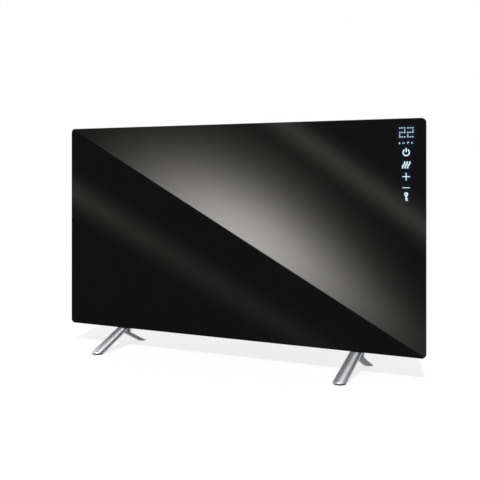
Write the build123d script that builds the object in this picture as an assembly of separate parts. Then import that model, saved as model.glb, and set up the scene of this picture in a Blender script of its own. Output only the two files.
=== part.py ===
from build123d import *
import math
import os

# Infrared panel heater: a black glass front bonded to a folded steel body, on two aluminium V feet.
# Millimetres. X runs along the width, Y from the glass towards the back, Z up from the floor.
# The origin is on the floor, in the middle of the feet.

# ------------------------------------------------------------------ glass front and its bond
glass_width = 830.0
glass_height = 450.0
glass_thickness = 4.0
glass_corner = 9.0
glass_edge = 0.7  # ground and polished edge
glass_lift = 43.0  # floor to the glass
glass_setback = 2.8  # middle of the feet to the face of the glass
seal_thickness = 1.5
seal_width = 10.0
ring_corner = 2.0  # least corner inside a flat frame

# ------------------------------------------------------------------ folded body
sheet = 1.0
body_inset = 12.0  # edge of the glass to the side of the body
body_corner = 6.0
body_depth = 28.0
flange_width = 18.0  # front flange, which the glass is bonded to
lip_width = 12.0  # rear lip, which the cover is screwed to
slot_length = 30.0
slot_width = 5.0
slot_pitch = 42.0
top_slots = 15
bottom_slots = 9
top_slots_shift = -41.0

# ------------------------------------------------------------------ rear cover
rim_margin = 1.0  # side of the body to the edge of the cover
rim_width = 15.0
dish_depth = 9.0
dish_corner = 14.0
vent_length = 30.0
vent_width = 4.0
vent_pitch = 12.0
vent_count = 35
vent_height = 142.0  # middle of the cover to the middle of each band of vents

# ------------------------------------------------------------------ heating stack
spreader_thickness = 1.0
mica_thickness = 0.5
track_thickness = 0.3
track_width = 7.0
track_pitch = 24.0
foil_thickness = 0.2
board_thickness = 12.0  # insulation
stack_margin = 2.0
strap_width = 12.0
strap_foot = 9.0
strap_left_inset = 113.0  # ends of the heated field to the outer straps
strap_right_inset = 127.0
cutout_radius = 8.0
cutout_cap_radius = 6.5
cutout_cap_depth = 5.0
cutout_rim = 1.0
cutout_heights = (-68.0, 62.0)  # from the middle of the panel
blade_width = 4.8
blade_thickness = 0.8
blade_length = 6.0
stud_radius = 2.0
stud_inset = 30.0  # right end of the heated field to the studs
stud_reach = 27.0  # from the back of the glass to the tip
stud_nut_height = 3.0
bush_radius = 5.0
bush_collar = 2.0  # wider and as thick again behind the insulation

# ------------------------------------------------------------------ control zone at the right end
control_width = 103.0  # inside of the body's right wall to the divider
divider_foot = 12.0
grommet_radius = 8.5
grommet_bore = 7.0
grommet_lift = 75.0  # floor of the body to the middle of the grommet
window_width = 50.0  # clear of the flange, behind the display
window_height = 163.0
display_margin = 0.3

# ------------------------------------------------------------------ display and touch keys
display_depth = 3.5
carrier_wall = 1.6
touch_board_thickness = 1.6
module_width = 33.5
module_height = 37.0
module_inset_x = 20.5  # edge of the glass to the display module
module_inset_z = 14.0
module_gap = 0.1  # glass to the face of the module
figure_width, figure_height, figure_depth = 14.4, 21.8, 0.4  # the sunk windows of the two figures
figure_pitch = 15.8
figure_lift = 4.0  # middle of the module to the middle of the figures
key_radius = 6.0
key_hollow_radius = 2.5
key_hollow_depth = 1.5
key_x = 37.7  # edge of the glass to the column of keys
key_drops = (64.2, 88.0, 110.0, 131.0, 147.5)  # from the top of the glass
header_width = 14.0
header_height = 8.0
header_depth = 5.0
header_shift = 10.0  # to the left of the keys
header_inset = 1.0  # from the edge of its board
ribbon_thickness = 0.9
ribbon_width = 12.0
ribbon_gap = 1.0

# ------------------------------------------------------------------ control box
box_height = 148.0
box_drop = 2.0  # below the display window
box_wall = 2.0
box_depth = 23.0
box_side_gap = 17.0  # box to the wall of the body, bridged by its tabs
box_corner = 2.5
tab_gap = 1.0  # tab to the wall of the body
tab_height = 16.0
boss_height = 3.0
boss_radius = 3.5
board_margin = 6.0
board_gap = 1.0  # right edge of the power board to the wall of the box
power_board_thickness = 1.6
lid_thickness = 1.5
lid_lip_depth, lid_lip_height = 2.0, 3.0
lid_slits, lid_slit_length, lid_slit_width, lid_slit_pitch = 7, 44.0, 3.0, 7.0
terminal_pitch = 9.0
terminal_ways = 5
terminal_height = 14.0
terminal_depth = 14.0
terminal_bevel = 1.5
terminal_shift = 10.0  # to the left of the switch
component_gap = 3.0
relay_width, relay_height, relay_depth = 19.0, 15.5, 15.0
core_width, core_height, core_depth = 26.0, 30.0, 14.0
coil_width, coil_height, coil_depth = 16.0, 24.0, 16.0
film_width, film_height, film_depth = 18.0, 9.0, 13.0
can_radius, can_depth = 5.0, 16.0
chip_width, chip_height, chip_depth = 16.0, 10.0, 2.5
fuse_radius, fuse_length = 3.0, 24.0
clip_wall, clip_grip = 1.5, 4.0
sink_width, sink_height, sink_depth = 20.0, 22.0, 14.0
sink_fins, sink_fin, sink_base = 5, 2.0, 3.0
touch_chip, touch_chip_depth = 12.0, 1.8
buzzer_radius, buzzer_depth = 5.0, 5.0

# ------------------------------------------------------------------ switch, gland and earth stud
switch_x = 60.0  # edge of the glass to the switch and the gland
switch_lift = 93.0  # bottom of the glass to the switch
bezel_width = 15.0
bezel_height = 21.0
bezel_thickness = 2.0
switch_body_width = 12.8
switch_body_height = 18.8
switch_depth = 16.0
rocker_width = 10.4
rocker_radius = 8.3
rocker_gap = 0.3
rocker_sink = 1.5  # face of the cover to the rocker's axis
rocker_crown = 3.2  # axis to the middle of the rocker's face
rocker_root = 4.5
switch_blade_spacing = 10.0
rocker_tilt = 10.0  # degrees either side of level
trunnion_radius = 1.5
trunnion_length = 0.7
running_gap = 0.05
gland_lift = 57.0  # bottom of the glass to the cord gland
gland_bore = 3.6
gland_radius = 8.0
gland_flange = 11.0
gland_length = 17.0
gland_thread = 9.0  # inside the cover
gland_collar = 3.0
gland_nose_radius = 6.5
gland_nose_round = 1.2
gland_nut_height = 4.0
earth_x = 36.0  # edge of the glass to the earth stud
earth_length = 12.0
earth_head = 1.5

sensor_x_inset = 56.0  # edge of the glass to the air sensor
sensor_stem = 3.0
sensor_cap = 5.0
sensor_drop = 2.0
sensor_length = 9.0

# ------------------------------------------------------------------ tip-over switch
tilt_x = 94.0  # edge of the glass to the tip-over switch
tilt_width = 18.0
tilt_height = 44.0
tilt_depth = 25.0
tilt_wall = 1.5
tilt_pin_radius = 2.0
tilt_pin_drop = 8.0
bob_radius = 5.0
bob_arm = 22.0
bob_thickness = 8.0
arm_width = 4.0
reed_height = 2.5

# ------------------------------------------------------------------ feet
foot_inset = 139.5  # end of the glass to the middle of a foot
leg_half_width = 13.4  # the widest, at a front toe
front_top_half_width = 12.8
rear_half_width = 11.0
front_toe_half_depth = 7.4
front_top_half_depth = 7.0
rear_half_depth = 4.2
front_slope = 21.8  # degrees above the floor
rear_slope = 25.5
front_reach = 88.5  # middle of the feet to where a leg's centreline meets the floor
rear_reach = 87.5
toe_reach = 97.0
toe_margin = 1.1  # the round end of a toe, seen from above, is an ellipse this much wider than the leg
toe_sweep = 17.0  # and this long
pad_thickness = 1.2
pad_inset = 0.7
under_glass_gap = 0.4
neck_width = 27.0
neck_depth = 21.0
neck_corner = 9.0
neck_base = 36.0
neck_flare = 5.0  # wider on each side under the plate
neck_inset = 1.0  # from the front and the back of the plate
plate_width = 72.0
plate_thickness = 4.0
plate_corner = 5.0
foot_screw_spacing = 50.0
foot_screw_radius = 2.5
foot_screw_head = 4.6
foot_screw_head_height = 2.6
foot_screw_tip = 1.0  # out of the nut
foot_socket_radius = 1.7
nut_plate_thickness = 2.0
nut_radius = 4.6
nut_height = 4.0

# ------------------------------------------------------------------ hanging points on the back
hanger_inset = 135.0  # end of the glass to the middle of a hanger
hanger_height = 142.0  # middle of the panel to the keyholes
hanger_width = 30.0
hanger_length = 52.0
hanger_stand = 9.0
hanger_sheet = 1.5
hanger_wing = 12.0
keyhole_radius = 5.0
keyhole_slot = 5.0
keyhole_travel = 12.0
bumper_radius = 9.0
bumper_floor = 3.0
rating_width, rating_height, rating_thickness, rating_corner = 60.0, 34.0, 0.4, 2.0
rating_drop = 80.0  # below the middle of the panel

# ------------------------------------------------------------------ small screws
small_screw = 1.5
small_head = 2.8
small_head_height = 1.8
touch_head = 2.2
back_tip = 3.0  # inside the cover
board_tip = 2.0  # past the front of a board
flange_tip = 0.5  # past the front of the flange
cover_screw = 1.75
cover_head = 3.6
cover_head_height = 2.3
cover_screw_length = 7.0
cover_screw_inset = 6.5
cover_screw_shares = (-0.9, -0.3, 0.3, 0.9)  # of the way out along the long edges
side_screw_shares = (-0.6, 0.6)
clip_size = 8.0
clip_thickness = 3.0
thread_gap = 0.1
hole_gap = 0.25
lead_radius = 1.2

# Places that follow from the sizes
glass_back = glass_setback + glass_thickness
panel_z = glass_lift + glass_height / 2
glass_right = glass_width / 2
glass_top = glass_lift + glass_height
body_front = glass_back + seal_thickness
body_back = body_front + body_depth
body_mid = (body_front + body_back) / 2
body_right = glass_right - body_inset
body_left = -body_right
body_bottom = glass_lift + body_inset
body_top = glass_top - body_inset
wall_right = body_right - sheet
wall_bottom = body_bottom + sheet
wall_top = body_top - sheet
flange_back = body_front + sheet
lip_front = body_back - sheet
cover_face = body_back + sheet + dish_depth  # outer face of the dished cover
divider_x = wall_right - control_width
window_left = wall_right - window_width
window_bottom = wall_top - window_height
window_right = wall_right - 2 * display_margin
window_top = wall_top
track_front = glass_back + spreader_thickness + mica_thickness
track_back = track_front + track_thickness
foil_front = track_back + mica_thickness
board_front = foil_front + foil_thickness
board_back = board_front + board_thickness
stack_left = body_left + flange_width + stack_margin
stack_right = divider_x - stack_margin
stack_bottom = body_bottom + flange_width + stack_margin
stack_top = body_top - flange_width - stack_margin


def block(xs, ys, zs):
    """A box between the lowest and the highest value on each axis."""
    middle = Pos((xs[0] + xs[1]) / 2, (ys[0] + ys[1]) / 2, (zs[0] + zs[1]) / 2)
    return middle * Box(xs[1] - xs[0], ys[1] - ys[0], zs[1] - zs[0])


def around(x, half):
    """The span that reaches half each side of x."""
    return (x - half, x + half)


def upright(sketch, front, back, x=0.0, z=0.0):
    """A sketch, seen from the front, carried from front to back."""
    face = Plane(origin=(x, back, z), x_dir=(1, 0, 0), z_dir=(0, -1, 0))
    return extrude(face * sketch, back - front)


def panel(width, height, corner, front, back):
    """A rounded plate that stands behind the glass, on the same middle."""
    return upright(RectangleRounded(width, height, corner), front, back, z=panel_z)


def rod(radius, start, end):
    """A round bar from one point to another."""
    run = Vector(*end) - Vector(*start)
    return extrude(Plane(origin=start, z_dir=run) * Circle(radius), run.length)


def pin_y(radius, x, z, front, back):
    """A round bar along the depth."""
    return rod(radius, (x, front, z), (x, back, z))


def nut_z(radius, x, y, low, high):
    """A hexagonal nut that stands on end."""
    return extrude(Pos(x, y, low) * RegularPolygon(radius, 6), high - low)


def nut_y(radius, x, z, front, back):
    """A hexagonal nut along the depth."""
    return upright(RegularPolygon(radius, 6), front, back, x, z)


def repeat(sketch, places):
    """One sketch made of copies at every place."""
    return Sketch() + [place * sketch for place in places]


def cut_all(body, tools):
    """The body with every tool cut from it."""
    for tool in tools:
        body = body - tool
    return body


def cross_slot(radius, x, z, front, back):
    """The driving cross in a screw's head."""
    arm = 0.28 * radius
    reach = 0.62 * radius
    return block(around(x, reach), (front, back), around(z, arm)) + block(
        around(x, arm), (front, back), around(z, reach)
    )


def screw_y(shank, head, head_height, x, z, seat, tip):
    """A pan-head screw along the depth: the head sits behind the seat, the tip lies in front."""
    top = seat + head_height
    shape = pin_y(shank, x, z, tip, seat) + fillet(
        pin_y(head, x, z, seat, top).edges().sort_by(Axis.Y)[-1], 0.45 * head_height
    )
    return shape - cross_slot(head, x, z, top - 0.55 * head_height, top)


def group(solids):
    """Separate solids kept in one node."""
    return Compound(children=list(solids))


def save(name, shape):
    """Writes one piece under its own name."""
    export_step(shape, f"parts/{name}.step")


# ------------------------------------------------------------------ shared places
cover_screw_x = body_right - cover_screw_inset
cover_screw_z = (body_top - body_bottom) / 2 - cover_screw_inset
cover_screw_places = [
    (share * cover_screw_x, side * cover_screw_z) for side in (-1, 1) for share in cover_screw_shares
]
cover_screw_places += [
    (side * cover_screw_x, share * cover_screw_z) for side in (-1, 1) for share in side_screw_shares
]
strap_ends = (stack_left + strap_left_inset, stack_right - strap_right_inset)
strap_xs = (strap_ends[0], sum(strap_ends) / 2, strap_ends[1])
strap_screw_low = body_bottom + (seal_width + flange_width) / 2
strap_screw_high = body_top - (seal_width + flange_width) / 2
divider_screw_x = divider_x + sheet + (divider_foot - sheet) / 2
switch_z = glass_lift + switch_lift
gland_z = glass_lift + gland_lift
hanger_x = glass_right - hanger_inset
box_left = divider_x + sheet + display_margin
box_right = wall_right - box_side_gap
box_top = window_bottom - box_drop
box_bottom = box_top - box_height
box_front = flange_back + sheet
box_back = box_front + box_depth
tab_screw_x = body_right - (seal_width + flange_width) / 2
tab_centres = (box_bottom + tab_height, box_top - tab_height)
foot_xs = (foot_inset - glass_right, glass_right - foot_inset)
front_angle = math.radians(front_slope)
rear_angle = math.radians(rear_slope)
foot_screw_xs = [x + side * foot_screw_spacing / 2 for x in foot_xs for side in (-1, 1)]
stud_x = stack_right - stud_inset
track_rows = 2 * int((stack_top - stack_bottom - track_width) / track_pitch / 2)
track_low = panel_z - (track_rows - 1) * track_pitch / 2
stud_zs = (track_low, track_low + (track_rows - 1) * track_pitch)
stud_tip = glass_back + stud_reach
bush_back = board_back + bush_collar
stud_nut_back = bush_back + stud_nut_height
cutout_x = strap_xs[-1]
cutout_zs = [panel_z + height for height in cutout_heights]
blade_reach = cutout_radius - blade_thickness
blade_tip = board_back + blade_length
rocker_y = cover_face - rocker_sink
switch_blade_zs = around(switch_z, switch_blade_spacing / 2)
back_x = glass_right - switch_x
earth_stud_x = glass_right - earth_x
tilt_middle = glass_right - tilt_x
sensor_x = glass_right - sensor_x_inset
grommet_z = body_bottom + grommet_lift
key_column = glass_right - key_x
key_zs = [glass_top - drop for drop in key_drops]
touch_front = glass_back + display_depth
touch_back = touch_front + touch_board_thickness
module_right = glass_right - module_inset_x
module_left = module_right - module_width
module_top = glass_top - module_inset_z
module_bottom = module_top - module_height
carrier_xs = (window_left + display_margin, window_right - display_margin)
carrier_zs = (window_bottom + display_margin, window_top - display_margin)
touch_xs = (carrier_xs[0] + carrier_wall, carrier_xs[1] - carrier_wall)
touch_zs = (carrier_zs[0] + carrier_wall, carrier_zs[1] - carrier_wall)
touch_screw_places = [
    (x, z)
    for x in (touch_xs[0] + 2 * small_screw, touch_xs[1] - 1.4 * small_screw)
    for z in (touch_zs[0] + 2 * small_screw, module_bottom - 3 * small_screw)
]


def glass_front():
    plate = panel(glass_width, glass_height, glass_corner, glass_setback, glass_back)
    rims = [edge for edge in plate.edges() if abs(edge.center().Y - edge.bounding_box().min.Y) < 1e-6]
    rims = [edge for edge in rims if edge.bounding_box().size.Y < 1e-6]
    return chamfer(rims, glass_edge)


def ring(inset, width, front, back, corner):
    """A flat frame that follows the glass, inset from its edge."""
    outer = panel(glass_width - 2 * inset, glass_height - 2 * inset, corner, front, back)
    within = inset + width
    opening = panel(
        glass_width - 2 * within, glass_height - 2 * within, max(corner - width, ring_corner), front, back
    )
    return outer - opening


def bonding_seal():
    seal = ring(body_inset, seal_width, glass_back, body_front, body_corner)
    return seal - block((window_left, window_right), (glass_back, body_front), (window_bottom, window_top))


def slot_row(count, pitch, middle, height):
    """Convection slots through the top or the bottom wall of the body."""
    slots = repeat(SlotOverall(slot_length, slot_width), GridLocations(pitch, pitch, count, 1))
    return extrude(Pos(middle, body_mid, height) * slots, sheet)


def support_frame():
    walls = ring(body_inset, sheet, body_front, body_back, body_corner)
    flange = ring(body_inset, flange_width, body_front, flange_back, body_corner)
    lip = ring(body_inset, lip_width, lip_front, body_back, body_corner)
    window = block((window_left, window_right), (body_front, flange_back), (window_bottom, window_top))
    frame = walls + (flange - window) + lip
    frame = frame - slot_row(top_slots, slot_pitch, top_slots_shift, wall_top)
    frame = frame - slot_row(bottom_slots, slot_pitch, 0.0, body_bottom)
    screws = [
        rod(foot_screw_radius + hole_gap, (x, body_mid, body_bottom), (x, body_mid, wall_bottom))
        for x in foot_screw_xs
    ]
    rear = [
        pin_y(cover_screw + hole_gap, x, panel_z + z, lip_front, body_back)
        for x, z in cover_screw_places
    ]
    front = [
        pin_y(small_screw + thread_gap, x, z, body_front, flange_back)
        for x, z in flange_screw_places()
    ]
    floor_holes = [
        rod(radius, (x, body_mid, body_bottom), (x, body_mid, wall_bottom))
        for x, radius in ((earth_stud_x, stud_radius + thread_gap), (sensor_x, sensor_stem + hole_gap))
    ]
    return cut_all(frame, screws + rear + front + floor_holes)


def flange_screw_places():
    """Screws into the front flange: straps, divider and the tabs of the control box."""
    straps = [(x, z) for x in strap_xs for z in (strap_screw_low, strap_screw_high)]
    divider = [(divider_screw_x, z) for z in (strap_screw_low, strap_screw_high)]
    tabs = [(tab_screw_x, z) for z in tab_centres]
    return straps + divider + tabs


def frustum(width, height, corner, front, back):
    """The dished field of the cover: its sides lean in at 45 degrees towards the back."""
    fall = back - front
    low = Plane(origin=(0, front, panel_z), x_dir=(1, 0, 0), z_dir=(0, -1, 0))
    high = Plane(origin=(0, back, panel_z), x_dir=(1, 0, 0), z_dir=(0, -1, 0))
    wide = low * RectangleRounded(width, height, corner)
    narrow = high * RectangleRounded(width - 2 * fall, height - 2 * fall, corner - fall)
    return loft([wide, narrow])


def rear_cover():
    width = 2 * (body_right - rim_margin)
    height = body_top - body_bottom - 2 * rim_margin
    rim = panel(width, height, body_corner - rim_margin, body_back, body_back + sheet)
    field_width = width - 2 * rim_width
    field_height = height - 2 * rim_width
    dish = frustum(field_width, field_height, dish_corner, body_back, cover_face)
    skin = sheet * math.sqrt(2)  # what a 45 degree wall takes across
    inner_width = field_width - 2 * skin
    inner_height = field_height - 2 * skin
    hollow = frustum(inner_width, inner_height, dish_corner - skin / 2, body_back, cover_face - sheet)
    cover = rim + dish - hollow
    vents = repeat(
        SlotOverall(vent_length, vent_width, rotation=90),
        GridLocations(vent_pitch, 2 * vent_height, vent_count, 2),
    )
    cover = cover - upright(vents, cover_face - sheet, cover_face, z=panel_z)
    rims = [
        pin_y(cover_screw + hole_gap, x, panel_z + z, body_back, body_back + sheet)
        for x, z in cover_screw_places
    ]
    face = (cover_face - sheet, cover_face)
    switch_xs = around(back_x, switch_body_width / 2 + hole_gap)
    switch_zs = around(switch_z, switch_body_height / 2 + hole_gap)
    openings = [pin_y(gland_radius + hole_gap, back_x, gland_z, *face), block(switch_xs, face, switch_zs)]
    wings = [pin_y(small_screw + thread_gap, x, z, *face) for x, z in hanger_screw_places()]
    bumpers = [pin_y(small_screw + thread_gap, x, z, *face) for x, z in bumper_places()]
    return cut_all(cover, rims + openings + wings + bumpers)


# ------------------------------------------------------------------ heating stack
def stack_sheet(front, back, holes):
    """A flat sheet the size of the heated field, with its round holes."""
    sheet_body = block((stack_left, stack_right), (front, back), (stack_bottom, stack_top))
    return cut_all(sheet_body, [pin_y(radius, x, z, front, back) for radius, x, z in holes])


def stud_holes(gap):
    return [(bush_radius + gap, stud_x, z) for z in stud_zs]


def heating_track():
    """One ribbon that runs to and fro, with both ends at the right."""
    left = stack_left + track_width
    right = stack_right - track_width
    ys = (track_front, track_back)
    centres = [track_low + row * track_pitch for row in range(track_rows)]
    track = block((left, right), ys, around(centres[0], track_width / 2))
    for row in range(1, track_rows):
        span = (left, left + track_width) if row % 2 else (right - track_width, right)
        track = track + block((left, right), ys, around(centres[row], track_width / 2))
        track = track + block(span, ys, (centres[row - 1], centres[row]))
    return track


def insulation_board():
    cutouts = [(cutout_radius + hole_gap, cutout_x, z) for z in cutout_zs]
    return stack_sheet(board_front, board_back, stud_holes(hole_gap) + cutouts)


def insulation_strap(x):
    """A bent strap: its feet are screwed to the flange and its back presses on the insulation."""
    xs = around(x, strap_width / 2)
    wall_low = body_bottom + flange_width
    wall_high = body_top - flange_width
    strap = block(xs, (board_back, board_back + sheet), (wall_low, wall_high))
    for inner, outer in ((wall_low, wall_low - strap_foot), (wall_high, wall_high + strap_foot)):
        lean = sheet if inner < panel_z else -sheet
        strap = strap + block(xs, (flange_back, board_back + sheet), sorted((inner, inner + lean)))
        strap = strap + block(xs, (flange_back, flange_back + sheet), sorted((inner + lean, outer)))
    holes = [
        pin_y(small_screw + hole_gap, x, z, flange_back, flange_back + sheet)
        for z in (strap_screw_low, strap_screw_high)
    ]
    return cut_all(strap, holes)


def thermal_cutout(z):
    """A bimetal disc thermostat that stands in the insulation, with two blades."""
    shoulder = board_front + cutout_cap_depth
    cap = pin_y(cutout_cap_radius, cutout_x, z, board_front, shoulder)
    body = pin_y(cutout_radius, cutout_x, z, shoulder, board_back)
    body = fillet(body.edges().sort_by(Axis.Y)[0], cutout_rim)
    blades = [
        block(
            around(cutout_x + side * (blade_reach - blade_thickness / 2), blade_thickness / 2),
            (board_back - cutout_rim, blade_tip),
            around(z, blade_width / 2),
        )
        for side in (-1, 1)
    ]
    return cap + body + blades[0] + blades[1]


def terminal_bush(z):
    """A ceramic bush that carries a stud through the insulation."""
    bush = pin_y(bush_radius, stud_x, z, foil_front, board_back) + pin_y(
        bush_radius + bush_collar, stud_x, z, board_back, bush_back
    )
    return bush - pin_y(stud_radius + hole_gap, stud_x, z, foil_front, bush_back)


def terminal_stud(z):
    """A stud with a flat head on the track, and a nut that clamps the lead's lug."""
    stud = pin_y(stud_radius, stud_x, z, foil_front, stud_tip)
    head = pin_y(bush_radius, stud_x, z, track_back, foil_front)
    nut = nut_y(2 * stud_radius, stud_x, z, bush_back, stud_nut_back)
    return stud + head + nut


# ------------------------------------------------------------------ divider and control box
def divider_rail():
    """The wall between the heated field and the controls, on the front flange."""
    zs = (wall_bottom + display_margin, wall_top - display_margin)
    web_low = wall_bottom + nut_plate_thickness + nut_height + 2 * foot_screw_tip
    web = block((divider_x, divider_x + sheet), (flange_back, lip_front - display_margin), (web_low, zs[1]))
    foot = block((divider_x, divider_x + divider_foot), (flange_back, flange_back + sheet), zs)
    rail = web + foot
    holes = [
        pin_y(small_screw + hole_gap, divider_screw_x, z, flange_back, flange_back + sheet)
        for z in (strap_screw_low, strap_screw_high)
    ]
    holes += [
        pin_y(small_screw + thread_gap, divider_screw_x, z, flange_back, flange_back + sheet)
        for z in tab_centres
    ]
    holes.append(
        rod(grommet_radius, (divider_x, body_mid, grommet_z), (divider_x + sheet, body_mid, grommet_z))
    )
    return cut_all(rail, holes)


def grommet():
    """A rubber ring in the divider, which the leads pass through."""
    lip = 1.2
    centre = (body_mid, grommet_z)
    ring_body = rod(grommet_radius, (divider_x, *centre), (divider_x + sheet, *centre))
    for start in (divider_x - lip, divider_x + sheet):
        ring_body = ring_body + rod(grommet_radius + lip, (start, *centre), (start + lip, *centre))
    return ring_body - rod(grommet_bore, (divider_x - lip, *centre), (divider_x + sheet + lip, *centre))


board_xs = (box_left + box_wall + board_margin, box_right - box_wall - board_gap)
board_zs = (box_bottom + board_margin, box_top - board_margin)
power_front = box_front + box_wall + boss_height
power_back = power_front + power_board_thickness
board_screw_places = [
    (x, z)
    for x in (board_xs[0] + boss_radius, board_xs[1] - boss_radius)
    for z in (board_zs[0] + boss_radius, board_zs[1] - boss_radius)
]
terminal_middle = back_x - terminal_shift
first_way = terminal_middle - (terminal_ways - 1) / 2 * terminal_pitch
terminal_xs = [first_way + way * terminal_pitch for way in range(terminal_ways)]
terminal_zs = (board_zs[0] + board_margin, board_zs[0] + board_margin + terminal_height)
lead_y = power_back + terminal_depth / 2
header_xs = around(key_column - header_shift, header_width / 2)
touch_header_low = touch_zs[0] + header_inset
power_header_top = board_zs[1] - header_inset
touch_header_zs = (touch_header_low, touch_header_low + header_height)
power_header_zs = (power_header_top - header_height, power_header_top)
ribbon_xs = around(key_column - header_shift, ribbon_width / 2)


def control_box():
    """A moulded tray with tabs that are screwed to the flange and to the divider's foot."""
    xs = (box_left, box_right)
    zs = (box_bottom, box_top)
    tray = block(xs, (box_front, box_back), zs)
    tray = fillet(tray.edges().filter_by(Axis.Y), box_corner)
    inner_xs = (box_left + box_wall, box_right - box_wall)
    inner_zs = (box_bottom + box_wall, box_top - box_wall)
    tray = tray - block(inner_xs, (box_front + box_wall, box_back), inner_zs)
    for x, z in board_screw_places:
        tray = tray + pin_y(boss_radius, x, z, box_front + box_wall, power_front)
    for z in tab_centres:
        tab = (flange_back, box_front + box_wall)
        tray = tray + block((box_right - box_wall, wall_right - tab_gap), tab, around(z, tab_height / 2))
        tray = tray - pin_y(small_screw + hole_gap, tab_screw_x, z, *tab)
        tray = tray - pin_y(small_screw + hole_gap, divider_screw_x, z, *tab)
    for x, z in board_screw_places:
        tray = tray - pin_y(small_screw + thread_gap, x, z, box_front + box_wall, power_front)
    leads = block(
        (terminal_xs[0] - 3 * lead_radius, terminal_xs[-1] + 3 * lead_radius),
        (lead_y - 5 * lead_radius, box_back),
        (box_bottom, box_bottom + box_wall),
    )
    ribbon = block(
        (ribbon_xs[0] - ribbon_gap, ribbon_xs[1] + ribbon_gap),
        (touch_back, box_back),
        (box_top - box_wall, box_top),
    )
    return tray - leads - ribbon


def control_lid():
    ys = (box_back, box_back + lid_thickness)
    lid = block((box_left, box_right), ys, (box_bottom, box_top))
    lid = fillet(lid.edges().filter_by(Axis.Y), box_corner)
    clear = box_wall + display_margin
    lip = block(
        (box_left + clear, ribbon_xs[0] - 3 * ribbon_gap),
        (box_back - lid_lip_depth, box_back),
        (box_top - clear - lid_lip_height, box_top - clear),
    )
    rows = GridLocations(lid_slit_length, lid_slit_pitch, 1, lid_slits)
    slits = repeat(Rectangle(lid_slit_length, lid_slit_width), rows)
    return lid + lip - upright(slits, *ys, (box_left + box_right) / 2, (box_bottom + box_top) / 2)


def power_board():
    board = block(board_xs, (power_front, power_back), board_zs)
    holes = [pin_y(small_screw + hole_gap, x, z, power_front, power_back) for x, z in board_screw_places]
    return cut_all(board, holes)


def terminal_block():
    """Five ways: heater neutral, heater live, earth and the two sides of the switch."""
    xs = (terminal_xs[0] - terminal_pitch / 2, terminal_xs[-1] + terminal_pitch / 2)
    body = block(xs, (power_back, power_back + terminal_depth), terminal_zs)
    body = chamfer(body.edges().filter_by(Axis.X).sort_by(Axis.Y)[-1], terminal_bevel)
    middle = sum(terminal_zs) / 2
    top = power_back + terminal_depth
    wells = [pin_y(terminal_pitch / 4, x, middle, top - terminal_pitch / 2, top) for x in terminal_xs]
    return cut_all(body, wells)


def component(left, low, width, height, depth, start=0.0):
    """A box that stands on the power board, or on another part of the same component."""
    seat = power_back + start
    return block((left, left + width), (seat, power_back + depth), (low, low + height))


component_left = board_xs[0] + component_gap
component_low = terminal_zs[1] + component_gap
core_low = component_low + relay_height + component_gap
fuse_z = core_low + core_height + component_gap + fuse_radius + clip_wall
second_left = component_left + core_width + component_gap
can_z = component_low + film_height + component_gap + can_radius


def power_relay():
    relay = component(component_left, component_low, relay_width, relay_height, relay_depth)
    return fillet(relay.edges().filter_by(Axis.Y), 0.05 * relay_height)


def transformer():
    """A core across the middle of a coil, on its base."""
    coil_left = component_left + (core_width - coil_width) / 2
    coil_low = core_low + (core_height - coil_height) / 2
    base = component(component_left, core_low, core_width, core_height, core_depth / 3)
    coil = component(coil_left, coil_low, coil_width, coil_height, coil_depth, core_depth / 3)
    core = component(
        component_left, core_low + core_height / 3, core_width, core_height / 3, core_depth, core_depth / 3
    )
    return base + coil + core


def capacitors():
    """A film block and an electrolytic can."""
    film = component(second_left - component_gap, component_low, film_width, film_height, film_depth)
    can_x = second_left + can_radius
    can = pin_y(can_radius, can_x, can_z, power_back, power_back + can_depth)
    return group(
        [
            fillet(film.edges().filter_by(Axis.Y), 0.1 * film_height),
            fillet(can.edges().sort_by(Axis.Y)[-1], 0.2 * can_radius),
        ]
    )


def control_chips():
    """The controller on the power board and the touch controller on the display board."""
    return group(
        [
            component(second_left, can_z + can_radius + component_gap, chip_width, chip_height, chip_depth),
            block(
                around(key_column - touch_chip, touch_chip / 2),
                (touch_back, touch_back + touch_chip_depth),
                around(key_zs[1], touch_chip / 2),
            ),
        ]
    )


def buzzer():
    x = key_column + 1.6 * buzzer_radius
    top = touch_back + buzzer_depth
    return pin_y(buzzer_radius, x, key_zs[3], touch_back, top) - pin_y(
        0.2 * buzzer_radius, x, key_zs[3], touch_back + 0.4 * buzzer_depth, top
    )


def fuse_ends():
    centre = power_back + fuse_radius + clip_wall
    return (component_left, centre, fuse_z), (component_left + fuse_length, centre, fuse_z)


def fuse():
    return rod(fuse_radius, *fuse_ends())


def fuse_clips():
    """Two sprung clips that hold the fuse off the board."""
    start, end = fuse_ends()
    tube = rod(fuse_radius, start, end)
    centres = (start[0] + clip_grip, end[0] - clip_grip)
    zs = around(fuse_z, fuse_radius + clip_wall / 2)
    return group(block(around(x, clip_grip / 2), (power_back, start[1]), zs) - tube for x in centres)


def triac_sink():
    """A finned heat sink."""
    left = board_xs[1] - sink_width - board_gap
    low = core_low + (core_height - sink_height) / 2
    sink = component(left, low, sink_width, sink_height, sink_base)
    pitch = (sink_height - sink_fin) / (sink_fins - 1)
    for step in range(sink_fins):
        sink = sink + component(left, low + step * pitch, sink_width, sink_fin, sink_depth, sink_base)
    return sink


# ------------------------------------------------------------------ display
def display_carrier():
    """A moulded frame bonded to the glass, with a window for each light and key."""
    carrier = block(carrier_xs, (glass_back, touch_front), carrier_zs)
    carrier = fillet(carrier.edges().filter_by(Axis.Y), body_corner)
    carrier = carrier - block(
        (module_left - hole_gap, module_right + hole_gap),
        (glass_back, touch_front),
        (module_bottom - hole_gap, module_top + hole_gap),
    )
    keys = [pin_y(key_radius + hole_gap, key_column, z, glass_back, touch_front) for z in key_zs]
    floor = glass_back + carrier_wall / 2
    screws = [pin_y(small_screw + thread_gap, x, z, floor, touch_front) for x, z in touch_screw_places]
    return cut_all(carrier, keys + screws)


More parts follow.
